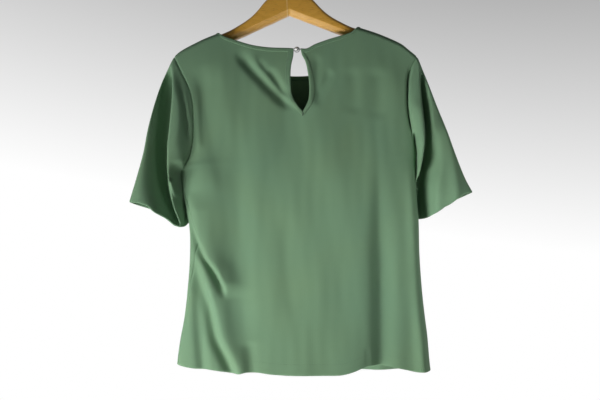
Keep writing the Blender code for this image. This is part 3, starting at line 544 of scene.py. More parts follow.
def fold_height(folds, x, drop):
    """How far the folds lift the cloth at each place, or sink it. A crest under 2 is sharper."""
    height = np.zeros_like(x)
    for fold in folds:
        run_x, run_drop = fold.x1 - fold.x0, fold.drop1 - fold.drop0
        length = math.hypot(run_x, run_drop)
        away_x, away_drop = x - fold.x0, drop - fold.drop0
        along = (away_x * run_x + away_drop * run_drop) / length**2
        inside = np.clip(along, 0.0, 1.0)
        aside = (away_x * run_drop - away_drop * run_x) / length - fold.bow * 4 * inside * (1 - inside)
        width = np.where(aside < 0, fold.left, fold.right)
        fade = ease((along + 0.02) / 0.22)
        if not fold.runs_off:
            fade = fade * ease((1.02 - along) / 0.22)
        height += blend(fold.start, fold.end, inside) * fade * np.exp(-np.abs(aside / width) ** fold.crest)
    return height


TROUGH_ASIDE = 1.7


def overlaps(table, x, drop):
    """How far overhanging folds lift the cloth, draw it in under their crests, and where they sink it."""
    height, drawn, sunk = np.zeros_like(x), np.zeros_like(x), np.zeros_like(x)
    for lap in table:
        aside = (x - follow(lap.path, drop, "drop", "x")) * lap.side + TROUGH_ASIDE * lap.lip
        fade = ease((drop - lap.fade_in[0]) / (lap.fade_in[1] - lap.fade_in[0]))
        fade = fade * ease((lap.fade_out[1] - drop) / (lap.fade_out[1] - lap.fade_out[0]))
        trough = np.exp(-np.abs(aside / np.where(aside < 0, lap.reach, lap.lip)) ** lap.box)
        past = aside - TROUGH_ASIDE * lap.lip
        crest = np.exp(-((past / np.where(past < 0, lap.lip, max(lap.crest_wide, 1))) ** 2))
        height += fade * (lap.crest_high * crest - lap.deep * trough)
        drawn += fade * lap.side * lap.under * np.exp(-(((aside + 0.5 * lap.lip) / (1.3 * lap.lip)) ** 2))
        sunk += fade * trough
    return height, drawn, sunk


def ripple(x, drop, seed, wide_mm, tall_mm, waves=16):
    """A slow, even random swell of unit size."""
    chance = np.random.default_rng(seed)
    total = np.zeros_like(x)
    for _ in range(waves):
        turn_x, turn_drop = chance.normal(0, 1 / wide_mm), chance.normal(0, 1 / tall_mm)
        total += np.sin(2 * math.pi * (turn_x * x + turn_drop * drop + chance.random()))
    return total * math.sqrt(2 / waves)


def cover_drop(x):
    """Drop of the cloth where it lies on the tilted hanger's arms."""
    rows = tuple(row._replace(top=row.top - ARM_COVER) for row in ARMS[:-2]) + BEYOND_ARM
    drop = np.full_like(np.asarray(x, float), 180.0)
    for _ in range(3):
        out = x + SHIRT_X - (drop - HOOK_INNER_RADIUS) * math.tan(TILT)
        drop = follow(rows, np.abs(out), "out", "top") - out * math.tan(TILT)
    return drop


def shaped(depth, height):
    """A depth with a fold's height added, where a deep trough thins out before it meets the other side."""
    kept = np.maximum(depth, 1e-3)
    return np.where(height < 0, kept * np.exp(np.minimum(height, 0.0) / kept), depth + height)


print("swell at the origin:", round(float(ripple(np.zeros(1), np.zeros(1), 3, 160, 420)[0]), 3))

# %% [markdown]
# A panel is found from two numbers, `across` and `down`. Above the underarm its side edge is the armhole,
# below it the side seam. The cross-section is a flattened oval that grows deeper towards the hem, and the
# folds change its depth. The back's two lips are drawn apart beside the keyhole.

# %% Find any place on a panel
def edge_drops(down, tip, underarm, hem):
    armhole = blend(tip, underarm, down / UNDERARM)
    side = blend(underarm, hem, (down - UNDERARM) / (1 - UNDERARM))
    return np.where(down < UNDERARM, armhole, side)


def top_edge(side, across):
    """x and drop of a panel's top edge: shoulder seam, neckline, shoulder seam."""
    columns = (Lip(-1, -220), Lip(-NECK_SHARE, -140.5), Lip(0, 10), Lip(NECK_SHARE, 130), Lip(1, 237))
    x = follow(columns, across, "share", "x")
    neck = follow(BACK_NECK if side == "back" else FRONT_NECK, x, "x", "drop")
    return x, np.where(np.abs(across) < NECK_SHARE - 1e-6, neck, cover_drop(x))


def keyhole_shift(across, down, centre_x):
    """How far the cloth beside the keyhole is drawn aside, to the left or to the right of it."""
    share = np.clip(down / KEYHOLE_DOWN, 0.0, 1.0)
    left = follow(LEFT_LIP, share, "share", "x") - centre_x
    right = follow(RIGHT_LIP, share, "share", "x") - centre_x
    middle = follow(LEFT_LIP, 1.0, "share", "x") - centre_x
    closed = middle * ease(1.0 - (down - KEYHOLE_DOWN) / 0.12)
    near = np.clip(1.0 - np.abs(across) / LIP_REACH, 0.0, 1.0) ** 2
    opened = np.where(across < 0, left, np.where(across > 0, right, (left + right) / 2))
    return near * np.where(down < KEYHOLE_DOWN, opened, closed)


TOP_HALVES = (230.0, 227.0)
HEM_HALVES = (233.0, 232.5)


def panel_points(side, across, down):
    """Middle surface of the front or back panel at each (across, down), in millimetres."""
    left = across < 0
    edge = np.where(
        left,
        edge_drops(down, LEFT_TIP, LEFT_UNDERARM, LEFT_HEM),
        edge_drops(down, RIGHT_TIP, RIGHT_UNDERARM, RIGHT_HEM),
    )
    centre_x = follow(CENTRE, blend(205.0, 800.0, down), "drop", "x")
    edge_x = np.where(left, follow(LEFT_EDGE, edge, "drop", "x"), follow(RIGHT_EDGE, edge, "drop", "x"))
    half = np.abs(edge_x - centre_x)

    share = np.clip(down / UNDERARM, 0.0, 1.0)
    thinned = np.sqrt(np.clip(1.0 - share**5, 0.0, 1.0))
    edge_depth = ARMHOLE_DEPTH * thinned * blend(0.72, 1.0, ease(share * 2))
    depth_key = "back" if side == "back" else "front"
    edge_middle = follow(DEPTHS, edge, "drop", depth_key)
    n = BODY_SQUARENESS
    reach = np.clip(1.0 - (edge_depth / edge_middle) ** n, 0.0, 1.0) ** (1 / n)
    swing = np.where(left, np.radians(follow(LEFT_SWING, edge, "drop", "degrees")), 0.0)
    swing = np.where(down > UNDERARM, swing, 0.0)
    turn_edge = np.arcsin(reach) - (swing if side == "back" else -swing)
    full = half / reach
    turn = across * turn_edge
    ring_x = centre_x + full * np.sin(turn)

    top_x, top_drop = top_edge(side, across)
    top_half = np.where(left, *TOP_HALVES)
    flat_x = centre_x + half * (top_x - 10.0) / top_half
    x = blend(flat_x, ring_x, ease(down / UNDERARM))

    hem_table = BACK_HEM if side == "back" else FRONT_HEM
    hem_x = follow(CENTRE, 800.0, "drop", "x") + np.where(left, *HEM_HALVES) * np.sin(across * math.pi / 2)
    hem = follow(hem_table, hem_x, "x", "drop")
    middle_underarm = (LEFT_UNDERARM + RIGHT_UNDERARM) / 2
    level = blend(middle_underarm, np.where(left, LEFT_UNDERARM, RIGHT_UNDERARM), across**2)
    below = (down - UNDERARM) / (1 - UNDERARM)
    drop = np.where(down < UNDERARM, blend(top_drop, level, share), blend(level, hem, below))
    if side == "back":
        x = x + keyhole_shift(across, down, centre_x)

    rho = np.clip(np.abs(x - centre_x) / full, 0.0, 1.0)
    facing = np.where(down > UNDERARM, np.sign(np.cos(turn)), 1.0)
    other_key = "front" if side == "back" else "back"
    own, other = (follow(DEPTHS, drop, "drop", key) for key in (depth_key, other_key))
    own = np.where(facing > 0, own, other)
    depth = own * np.clip(1.0 - rho**n, 0.0, 1.0) ** (1 / n)
    on_back = (facing > 0) == (side == "back")
    lapped, drawn, _ = overlaps(BACK_OVERLAPS, x, drop)
    height = np.where(on_back, fold_height(BACK_FOLDS, x, drop) + lapped, fold_height(FRONT_FOLDS, x, drop))
    swell = ripple(x, drop, 11 if side == "back" else 12, 150, 420) * 1.1
    swell = swell + ripple(x, drop, 13, 42, 400) * 0.16
    to_edge = np.where(down > UNDERARM, np.abs(np.cos(turn)) * 2.2, (1.0 - np.abs(across)) * 9.0)
    depth = shaped(depth, (height + swell * ease(share * 3)) * ease(to_edge))
    over = np.clip((drop - cover_drop(x)) / ARM_ROUND, 0.0, 1.0)
    depth = depth * np.sqrt(1.0 - (1.0 - over) ** 2)
    x = x + np.where(on_back, drawn * ease(to_edge), 0.0)
    return np.stack([x, np.where(on_back, -depth, depth), -drop], axis=-1)


print("back hem middle:", np.round(panel_points("back", np.array(0.0), np.array(1.0)), 1))

# %% [markdown]
# A sleeve starts from the armhole that both panels leave and runs down to its cuff. Each half is laid
# between an outer and an inner line and bulges to the back or to the front. The deep valley beside the
# sleeve's sharp back crease is a trough with one steep side, pressed through towards the sleeve's front.

# %% Find any place on a sleeve
def sleeve_points(outline, armhole, side_sign, cuff, folds, laps, rows):
    """Middle surface of one half of a sleeve: rows from armhole to cuff, columns from its outer line in."""
    halves = len(armhole) - 1
    shares = np.arange(rows + 1)[:, None] / rows
    turn = np.arange(halves + 1)[None, :] / halves
    inward = (1 - np.cos(math.pi * turn)) / 2
    outer_x = follow(outline, shares, "share", "outer_x")
    outer_drop = follow(outline, shares, "share", "outer_drop")
    inner_x = follow(outline, shares, "share", "inner_x")
    inner_drop = follow(outline, shares, "share", "inner_drop")
    cuff_x = blend(outline[-1].outer_x, outline[-1].inner_x, inward)
    cuff_drop = blend(outline[-1].outer_drop, outline[-1].inner_drop, inward)
    cuff_drop = cuff_drop + follow(cuff, inward, "x", "drop")
    hole_x, hole_y, hole_drop = armhole[:, 0][None], armhole[:, 1][None], -armhole[:, 2][None]
    x = blend(hole_x, cuff_x, shares)
    x = x + (1 - inward) * (outer_x - x[:, :1]) + inward * (inner_x - x[:, -1:])
    drop = blend(hole_drop, cuff_drop, shares)
    drop = drop + (1 - inward) * (outer_drop - drop[:, :1]) + inward * (inner_drop - drop[:, -1:])
    round_it = np.clip(np.sin(math.pi * turn), 0.0, 1.0)
    depth = blend(np.abs(hole_y), CUFF_DEPTH * round_it**SLEEVE_FULLNESS, shares)
    depth = depth + SLEEVE_BULGE * np.sin(math.pi * shares) * round_it**SLEEVE_FULLNESS
    inside = ease(turn / 0.12) * ease((1 - turn) / 0.1) * ease(shares / 0.14)
    swell = ripple(x, drop, 21, 70, 220) * 0.6
    lapped, drawn, sunk = overlaps(laps, x, drop)
    depth = shaped(depth, (fold_height(folds, x, drop) + lapped + swell) * inside)
    tuck = SLEEVE_TUCK * ease((inward - 0.78) / 0.22) * ease((shares - 0.08) / 0.2)
    y = side_sign * depth + tuck + PRESSED_THROUGH * np.minimum(sunk, 1.0) * inside
    return np.stack([x + drawn * inside, y, -drop], axis=-1)


print("sleeve lines:", len(LEFT_SLEEVE), "and", len(RIGHT_SLEEVE), "rows")

# %% [markdown]
# Every cloth piece becomes one closed mesh: the middle surface moved out and in by half the cloth's
# thickness, and closed along its edges. Before that the cloth dips towards each seam, which is what draws
# the fine dark line on a real seam, and it turns up inside at hem and cuff as a sewn hem does.

# %% Turn a surface into cloth
CLOTH = 1.1
SEAM_DIP = 1.3
SEAM_REACH = 1.9
SLIT_DEEP = 8.5
SLIT_REACH = 3.6
SLIT_ROWS = (230.0, 262.0, 336.0, 364.0)
HEM_UP = 20.0
HEM_ROUND = 1.2
HEM_NEAR_ROWS = 30
FAR_FROM_SEAM = 50.0


def face_normals(points, faces):
    """Outward direction of each point, from the faces around it."""
    corners = points[faces]
    normal = np.cross(corners[:, 2] - corners[:, 0], corners[:, 3] - corners[:, 1])
    normals = np.zeros_like(points)
    for k in range(4):
        np.add.at(normals, faces[:, k], normal)
    return normals / np.maximum(np.linalg.norm(normals, axis=1), 1e-9)[:, None]


def run_lengths(grid, axis):
    """Distance along a grid's rows or columns from the first one."""
    steps = np.linalg.norm(np.diff(grid, axis=axis), axis=-1)
    start = np.zeros_like(np.take(steps, [0], axis=axis))
    return np.concatenate([start, np.cumsum(steps, axis=axis)], axis=axis)


def slit_depth(points, seam_distance):
    """How far the right back armhole sinks in, where the cloth beside it folds together."""
    drop = -points[:, 2]
    rows = ease((drop - SLIT_ROWS[0]) / (SLIT_ROWS[1] - SLIT_ROWS[0]))
    rows = rows * ease((SLIT_ROWS[3] - drop) / (SLIT_ROWS[3] - SLIT_ROWS[2]))
    behind = ease(-points[:, 1] / 8.0) * (points[:, 0] > 0)
    return SLIT_DEEP * rows * behind * np.exp(-((seam_distance / SLIT_REACH) ** 2))


class Cloth:
    """A piece of cloth on its middle surface: points, four-sided faces, UV places, distances to seams."""

    def __init__(self, name, points, faces, uv, seam_distance):
        self.name, self.faces, self.uv = name, faces, uv
        normals = face_normals(points, faces)
        self.points = points - normals * (SEAM_DIP * np.exp(-((seam_distance / SEAM_REACH) ** 2)))[:, None]
        self.points[:, 1] += slit_depth(points, seam_distance)
        self.normals = face_normals(self.points, faces)


def link(name, data, material):
    """A new object with one material, linked to the scene."""
    made = bpy.data.objects.new(name, data)
    data.materials.append(material)
    bpy.context.scene.collection.objects.link(made)
    return made


def wall_mesh(name, points, normals, faces, uv, thickness, material, smooth_degrees=50):
    """A closed wall round a middle surface, at its place in the shirt, in metres."""
    count = len(points)
    points = points + (SHIRT_X, 0.0, 0.0)
    both = np.concatenate([points + normals * thickness / 2, points - normals * thickness / 2]) * MM
    edges = np.concatenate([faces[:, [k, (k + 1) % 4]] for k in range(4)])
    key = edges[:, 0].astype(np.int64) * count + edges[:, 1]
    back_key = edges[:, 1].astype(np.int64) * count + edges[:, 0]
    rim = edges[~np.isin(key, back_key)]
    rims = np.stack([rim[:, 1], rim[:, 0], rim[:, 0] + count, rim[:, 1] + count], axis=1)
    skins = np.concatenate([faces, faces[:, ::-1] + count, rims])
    mesh = bpy.data.meshes.new(name)
    mesh.from_pydata(both.tolist(), [], skins.tolist())
    layer = mesh.uv_layers.new(name="cloth")
    loops = np.empty(len(mesh.loops), dtype=np.int32)
    mesh.loops.foreach_get("vertex_index", loops)
    layer.data.foreach_set("uv", np.concatenate([uv, uv])[loops].ravel().astype(np.float32))
    mesh.shade_smooth()
    mesh.set_sharp_from_angle(angle=math.radians(smooth_degrees))
    return link(name, mesh, material)


def above_edge(points, normals, up):
    """Places on a grid so far above its last row, and which way the cloth faces there."""
    points, normals = points[::-1], normals[::-1]
    gone = run_lengths(points, 0)
    both = np.concatenate([points, normals], axis=-1)
    columns = range(gone.shape[1])
    found = np.array([[np.interp(up, gone[:, k], both[:, k, axis]) for axis in range(6)] for k in columns])
    return found[:, :3], found[:, 3:] / np.linalg.norm(found[:, 3:], axis=1)[:, None]


def hem_rows(grid, normals):
    """Rows that turn a grid's last row up inside: round the fold, then up behind the cloth."""
    last = grid[-1]
    down = grid[-1] - grid[-3]
    down /= np.linalg.norm(down, axis=1)[:, None]
    rows = []
    for degrees in (45, 90, 135, 180):
        turn = math.radians(degrees)
        inside = normals[-1] * HEM_ROUND * (1 - math.cos(turn))
        rows.append(last + down * HEM_ROUND * math.sin(turn) - inside)
    for up in (0.3, 0.6, 0.85, 1.0):
        places, facing = above_edge(grid[-HEM_NEAR_ROWS:], normals[-HEM_NEAR_ROWS:], HEM_UP * up)
        rows.append(places - facing * 2 * HEM_ROUND)
    return np.array(rows)


print("cloth thickness", CLOTH, "mm, hems turned up", HEM_UP, "mm")

# %% [markdown]
# The two panels share their side edges, so both are laid on the same rows and columns. Columns crowd
# towards the keyhole, the neck points and the seams, where the surface turns quickest.

# %% Lay out the panels
NECK_COLUMNS = 58
SHOULDER_COLUMNS = 34
KEYHOLE_ROWS = 40
ARMHOLE_ROWS = 76
BODY_ROWS = 132


def crowded(count, evenness):
    """Shares from 0 to 1 that crowd at both ends."""
    t = np.arange(count + 1) / count
    return blend(ease(t), t, evenness)


half_columns = np.concatenate([
    NECK_SHARE * crowded(NECK_COLUMNS, 0.35),
    blend(NECK_SHARE, 1.0, 1 - (1 - np.arange(1, SHOULDER_COLUMNS + 1) / SHOULDER_COLUMNS) ** 1.5),
])
ACROSS = np.concatenate([-half_columns[:0:-1], half_columns])
MIDDLE = len(half_columns) - 1
upper = ease(np.arange(KEYHOLE_ROWS + 1) / KEYHOLE_ROWS * 0.5) * 2
lower = 1 - (1 - np.arange(1, ARMHOLE_ROWS - KEYHOLE_ROWS + 1) / (ARMHOLE_ROWS - KEYHOLE_ROWS)) ** 1.5
DOWNS = np.concatenate([
    KEYHOLE_DOWN * upper,
    blend(KEYHOLE_DOWN, UNDERARM, lower),
    blend(UNDERARM, 1.0, np.arange(1, BODY_ROWS + 1) / BODY_ROWS),
])
print("panel grid:", len(DOWNS), "rows by", len(ACROSS), "columns")


# %% [markdown]
# A panel is one grid of places. Beside the slit the back's grid has its middle column twice, once for each
# lip, so the keyhole is a real opening and not a hole cut afterwards. The hem's turned rows are added below
# the last row.

# %% Cut the panels
def turned_out(faces, side):
    return faces if side == "back" else faces[:, ::-1]


def panel_cloth(side):
    """One panel with its hem, and for the back the two lips of its keyhole."""
    across, down = np.meshgrid(ACROSS, DOWNS)
    grid = panel_points(side, across, down)
    right = grid.copy()
    if side == "back":
        slit = DOWNS[:KEYHOLE_ROWS]
        grid[:KEYHOLE_ROWS, MIDDLE] = panel_points(side, np.full_like(slit, -1e-7), slit)
        right[:KEYHOLE_ROWS, MIDDLE] = panel_points(side, np.full_like(slit, 1e-7), slit)
    from_left = run_lengths(grid, 1)
    from_right = run_lengths(grid[:, ::-1], 1)[:, ::-1]
    from_top = run_lengths(grid, 0)
    shoulder = np.abs(ACROSS)[None, :] > NECK_SHARE - 1e-6
    seam = np.minimum(from_left, from_right)
    seam = np.minimum(seam, np.where(shoulder, from_top, np.inf))

    rows, columns = grid.shape[:2]
    flat = grid.reshape(-1, 3)
    ids = np.arange(rows * columns).reshape(rows, columns)
    quads = grid_faces(ids)
    normals = face_normals(flat, turned_out(quads, side)).reshape(grid.shape)
    hem = hem_rows(grid, normals)
    grid = np.concatenate([grid, hem])
    rows += len(hem)
    ids = np.arange(rows * columns).reshape(rows, columns)
    extra = right[:KEYHOLE_ROWS, MIDDLE] if side == "back" else np.zeros((0, 3))
    right_ids = ids.copy()
    right_ids[:len(extra), MIDDLE] = rows * columns + np.arange(len(extra))
    points = np.concatenate([grid.reshape(-1, 3), extra])
    quads = np.concatenate([grid_faces(ids[:, :MIDDLE + 1]), grid_faces(right_ids[:, MIDDLE:])])

    u = np.broadcast_to(np.median(from_left, axis=0)[None, :], grid.shape[:2])
    v = run_lengths(grid, 0)
    uv = np.stack([u, v], axis=-1).reshape(-1, 2) * MM
    seam = np.concatenate([seam, np.full((len(hem), columns), FAR_FROM_SEAM)]).ravel()
    if len(extra):
        uv = np.concatenate([uv, uv[ids[:len(extra), MIDDLE]]])
        seam = np.concatenate([seam, np.full(len(extra), FAR_FROM_SEAM)])
    piece = Cloth(f"{side}_panel", points, turned_out(quads, side), uv, seam)
    piece.ids, piece.right_ids = ids, right_ids
    return piece


def grid_faces(ids):
    """Four-sided faces between the rows and columns of a grid of point numbers."""
    return np.stack([ids[:-1, :-1], ids[1:, :-1], ids[1:, 1:], ids[:-1, 1:]], axis=-1).reshape(-1, 4)


back, front = panel_cloth("back"), panel_cloth("front")
print("panel points:", len(back.points), len(front.points))

# %% [markdown]
# Each sleeve is a tube of rings whose first ring is the armhole left by the panels, so the seam closes all
# round. All four pieces then get their thickness, and each takes the place of its plain solid.

# %% Cut the sleeves
SLEEVE_ROWS = 96


def sleeve_cloth(name, outline, column, cuffs, folds, laps):
    """A sleeve as rings from the armhole to the cuff, with the cuff's hem turned up."""
    rows = ARMHOLE_ROWS + 1
    side_points = {}
    for side in ("back", "front"):
        across = np.full(rows, ACROSS[column])
        side_points[side] = panel_points(side, across, DOWNS[:rows])
    back_half = sleeve_points(outline, side_points["back"], -1, cuffs[0], folds[0], laps, SLEEVE_ROWS)
    front_half = sleeve_points(outline, side_points["front"], 1, cuffs[1], folds[1], (), SLEEVE_ROWS)
    back_half[0], front_half[0] = side_points["back"], side_points["front"]
    rings = np.concatenate([back_half, front_half[:, -2:0:-1]], axis=1)
    facing = 1 if column == -1 else -1

    def tube(grid):
        ids = np.arange(grid.shape[0] * grid.shape[1]).reshape(grid.shape[:2])
        closed = np.concatenate([ids, ids[:, :1]], axis=1)
        quads = grid_faces(closed)
        return quads[:, ::-1] if facing > 0 else quads

    normals = face_normals(rings.reshape(-1, 3), tube(rings)).reshape(rings.shape)
    seam = run_lengths(rings, 0)
    inner = ARMHOLE_ROWS
    around = np.concatenate([rings, rings[:, :1]], axis=1)
    along_ring = run_lengths(around, 1)[:, :-1]
    seam = np.minimum(seam, np.abs(along_ring - along_ring[:, inner: inner + 1]))
    hem = hem_rows(rings, normals)
    rings = np.concatenate([rings, hem])
    seam = np.concatenate([seam, np.full(hem.shape[:2], FAR_FROM_SEAM)])
    v = run_lengths(rings, 0)
    u = np.broadcast_to(np.median(along_ring, axis=0)[None, :], v.shape)
    uv = np.stack([u, v], axis=-1).reshape(-1, 2) * MM
    piece = Cloth(name, rings.reshape(-1, 3), tube(rings), uv, seam.ravel())
    ids = np.arange(rings.shape[0] * rings.shape[1]).reshape(rings.shape[:2])
    piece.ids = np.concatenate([ids, ids[:, :1]], axis=1)
    return piece


left_sleeve = sleeve_cloth("left_sleeve", LEFT_SLEEVE, 0, (LEFT_CUFF_BACK, CUFF_FRONT),
                           (LEFT_SLEEVE_FOLDS, LEFT_SLEEVE_FRONT_FOLDS), LEFT_SLEEVE_OVERLAPS)
right_sleeve = sleeve_cloth("right_sleeve", RIGHT_SLEEVE, -1, (RIGHT_CUFF_BACK, CUFF_FRONT),
                            (RIGHT_SLEEVE_FOLDS, RIGHT_SLEEVE_FRONT_FOLDS), RIGHT_SLEEVE_OVERLAPS)

cloths = {}
for piece in (back, front, left_sleeve, right_sleeve):
    made = wall_mesh(f"{piece.name}_cloth", piece.points, piece.normals, piece.faces, piece.uv, CLOTH, knit)
    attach(made, "root")
    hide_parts(piece.name)
    cloths[piece.name] = made
    print(made.name, len(made.data.polygons), "faces")

# %% [markdown]
# Bindings, wires, threads and the wooden arms are all skins through a run of rings. One helper closes such
# a skin, caps its ends, turns its faces out and gives it a UV map in metres, so that knit and wood grain
# run along it.

# %% Skin a run of rings
def swept(name, rings, material, sharp_degrees=50):
    """A closed skin through rings of points in millimetres, at its place in the shirt."""
    rings = (np.asarray(rings) + (SHIRT_X, 0.0, 0.0)) * MM
    count, sides = rings.shape[:2]
    along = np.median(run_lengths(rings, 0), axis=1)
    around = run_lengths(np.concatenate([rings, rings[:, :1]], axis=1), 1)
    mesh = bmesh.new()
    layer = mesh.loops.layers.uv.new("along")
    corners = [[mesh.verts.new(point) for point in ring] for ring in rings]
    for i, k in np.ndindex(count - 1, sides):
        after = (k + 1) % sides
        face = mesh.faces.new((corners[i][k], corners[i + 1][k], corners[i + 1][after], corners[i][after]))
        places = ((around[i, k], along[i]), (around[i + 1, k], along[i + 1]),
                  (around[i + 1, k + 1], along[i + 1]), (around[i, k + 1], along[i]))
        for loop, place in zip(face.loops, places):
            loop[layer].uv = place
    caps = [mesh.faces.new(corners[0][::-1]), mesh.faces.new(corners[-1])]
    bmesh.ops.triangulate(mesh, faces=caps)
    bmesh.ops.recalc_face_normals(mesh, faces=mesh.faces)
    data = bpy.data.meshes.new(name)
    mesh.to_mesh(data)
    mesh.free()
    data.shade_smooth()
    data.set_sharp_from_angle(angle=math.radians(sharp_degrees))
    return link(name, data, material)


def unit(vectors):
    return vectors / np.maximum(np.linalg.norm(vectors, axis=-1, keepdims=True), 1e-9)


def smooth_route(places, steps):
    """A curve through places, with a number of steps between each two."""
    places = np.asarray(places, float)
    padded = np.concatenate([[2 * places[0] - places[1]], places, [2 * places[-1] - places[-2]]])
    route = []
    for a, b, c, d in zip(padded, padded[1:], padded[2:], padded[3:]):
        bend, twist = 2 * a - 5 * b + 4 * c - d, 3 * b - a - 3 * c + d
        for t in np.arange(steps) / steps:
            route.append(b + t * ((c - a) + t * (bend + t * twist)) / 2)
    return np.array(route + [places[-1]])


def frames(route):
    """Two directions across a route at each place, turned as little as possible from one to the next."""
    tangents = unit(np.gradient(route, axis=0))
    side = np.cross(tangents[0], (0.3, 0.9, 0.2))
    sides = []
    for tangent in tangents:
        side = unit(side - tangent * side.dot(tangent))
        sides.append(side)
    sides = np.array(sides)
    return sides, np.cross(tangents, sides)


def wire_rings(route, radius, sides=10):
    """Rings round a route, rounded off at both ends."""
    across, up = frames(route)
    gone = run_lengths(route[:, None], 0)[:, 0]
    to_end = np.minimum(gone, gone[-1] - gone)
    radii = radius * np.sqrt(np.clip(1 - (1 - np.clip(to_end / radius, 0.02, 1)) ** 2, 0, 1))
    turns = 2 * math.pi * np.arange(sides) / sides
    spokes = across[:, None] * np.cos(turns)[:, None] + up[:, None] * np.sin(turns)[:, None]
    return route[:, None] + spokes * radii[:, None, None]


def piece_made(made, slot, *nodes):
    """Attaches a finished piece to the root body and hides the plain solids it stands for; slot is not used.
    """
    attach(made, "root")
    if nodes:
        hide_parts(*nodes)
    print(made.name, len(made.data.polygons), "faces")
    return made


# %% [markdown]
# The neckline and the keyhole are bound: a narrow folded strip of the same knit lies over the raw edge and
# is stitched down. The strip's cut is drawn as pairs of `into`, the distance in from the edge, and `lift`,
# the height over the cloth. At the neck each ring follows a column of the panel.

# %% Bind the neckline
BAND_CUT = (
    (7.0, 0.55), (6.8, 1.0), (6.1, 1.4), (4.6, 1.55), (2.4, 1.6), (0.8, 1.5), (-0.3, 1.1), (-0.9, 0.4),
    (-0.9, -0.4), (-0.3, -1.1), (1.0, -1.4), (5.5, -1.4), (6.8, -1.0), (7.0, -0.55),
)
BAND_STITCH_IN = 5.7
BAND_ROWS = 34


def column_place(piece, ids, column, into, lift):
    """A place beside the top edge of a panel: so far in from the edge and so high over the cloth."""
    picked = ids[:BAND_ROWS, column]
    points, normals = piece.points[picked], piece.normals[picked]
    gone = run_lengths(points[:, None], 0)[:, 0]
    place = np.array([np.interp(max(into, 0.0), gone, points[:, axis]) for axis in range(3)])
    normal = unit(np.array([np.interp(max(into, 0.0), gone, normals[:, axis]) for axis in range(3)]))
    inward = unit(points[np.searchsorted(gone, 1.5)] - points[0])
    return place + inward * min(into, 0.0) + normal * lift, normal


def neck_band(name, node, piece, ids, columns):
    """One bound length of neckline, and the places and directions of its stitches."""
    rings = [[column_place(piece, ids, column, *corner)[0] for corner in BAND_CUT] for column in columns]
    stitches = [column_place(piece, ids, column, BAND_STITCH_IN, 1.5) for column in columns]
    made = piece_made(swept(name, rings, trim), "trim", node)
    return made, np.array([place for place, _ in stitches]), np.array([normal for _, normal in stitches])


reach = int(np.argmin(np.abs(half_columns - NECK_SHARE)))
band_left = neck_band("neck_binding_back_left", "neck_band_back_left", back, back.ids,
                      range(MIDDLE - reach, MIDDLE + 1))
band_right = neck_band("neck_binding_back_right", "neck_band_back_right", back, back.right_ids,
                       range(MIDDLE, MIDDLE + reach + 1))
band_front = neck_band("neck_binding_front", "neck_band_front", front, front.ids,
                       range(MIDDLE - reach, MIDDLE + reach + 1))

# %% [markdown]
# Round the keyhole the strip's rings stand square to the lip and fan out at the tip. The cloth below them
# is found with rays, because there the panel's own rows run at a slant. The strip is wider and narrower
# along the way, as one that was turned over by hand is.

# %% Bind the keyhole
KEYHOLE_CUT = (
    (1.0, 0.5), (0.97, 0.95), (0.88, 1.25), (0.6, 1.4), (0.3, 1.45), (0.1, 1.35), (-0.03, 1.0), (-0.1, 0.35),
    (-0.1, -0.35), (-0.03, -0.95), (0.1, -1.2), (0.7, -1.2), (0.95, -0.9), (1.0, -0.5),
)
KEYHOLE_WIDTHS = (
    Lip(0, 10), Lip(0.12, 9), Lip(0.25, 7.5), Lip(0.38, 5.6), Lip(0.5, 5.6), Lip(0.6, 8), Lip(0.7, 9.5),
    Lip(0.84, 7.5), Lip(1, 4.5),
)
LIP_STEP = 1.3
TIP_FAN = 9
LIP_STITCH_IN = 1.4
LIP_STITCH_LIFT = 1.3
TACK_LIFT = 2.4

back_tree = BVHTree.FromPolygons(back.points.tolist(), back.faces.tolist())


def even_steps(points, step):
    gone = run_lengths(points[:, None], 0)[:, 0]
    at = np.linspace(0, gone[-1], max(int(gone[-1] / step), 2))
    return np.stack([np.interp(at, gone, points[:, axis]) for axis in range(points.shape[1])], axis=1)


def lip_outline():
    """Places along both lips, seen flat, each with the direction that leads away from the opening."""
    left = even_steps(back.points[back.ids[3: KEYHOLE_ROWS + 1, MIDDLE]], LIP_STEP)
    right = even_steps(back.points[back.right_ids[3: KEYHOLE_ROWS + 1, MIDDLE]][::-1], LIP_STEP)
    outline = []
    for lip in (left, right):
        run = unit(np.gradient(lip[:, [0, 2]], axis=0))
        run = unit(np.array([run[max(i - 2, 0): i + 3].mean(axis=0) for i in range(len(run))]))
        outline.append([(place, np.array((step[1], -step[0]))) for place, step in zip(lip, run)])
    start = math.atan2(*outline[0][-1][1][::-1])
    end = math.atan2(*outline[1][0][1][::-1])
    fan = [start + ((end - start) % (2 * math.pi)) * k / TIP_FAN for k in range(1, TIP_FAN)]
    tip = [(left[-1], np.array((math.cos(turn), math.sin(turn)))) for turn in fan]
    return outline[0] + tip + outline[1]


def beside_lip(place, away, into, lift):
    """A place beside the keyhole's lip: the cloth there is met by a ray from behind the wearer."""
    flat = place[[0, 2]] + away * max(into, 0.5)
    hit, normal, _, _ = back_tree.ray_cast((flat[0], -200.0, flat[1]), (0.0, 1.0, 0.0))
    if hit is None:
        hit, normal = Vector(place), Vector((0.0, -1.0, 0.0))
    flat = place[[0, 2]] + away * into
    return np.array((flat[0], hit.y, flat[1])) + np.array(normal) * lift, np.array(normal)


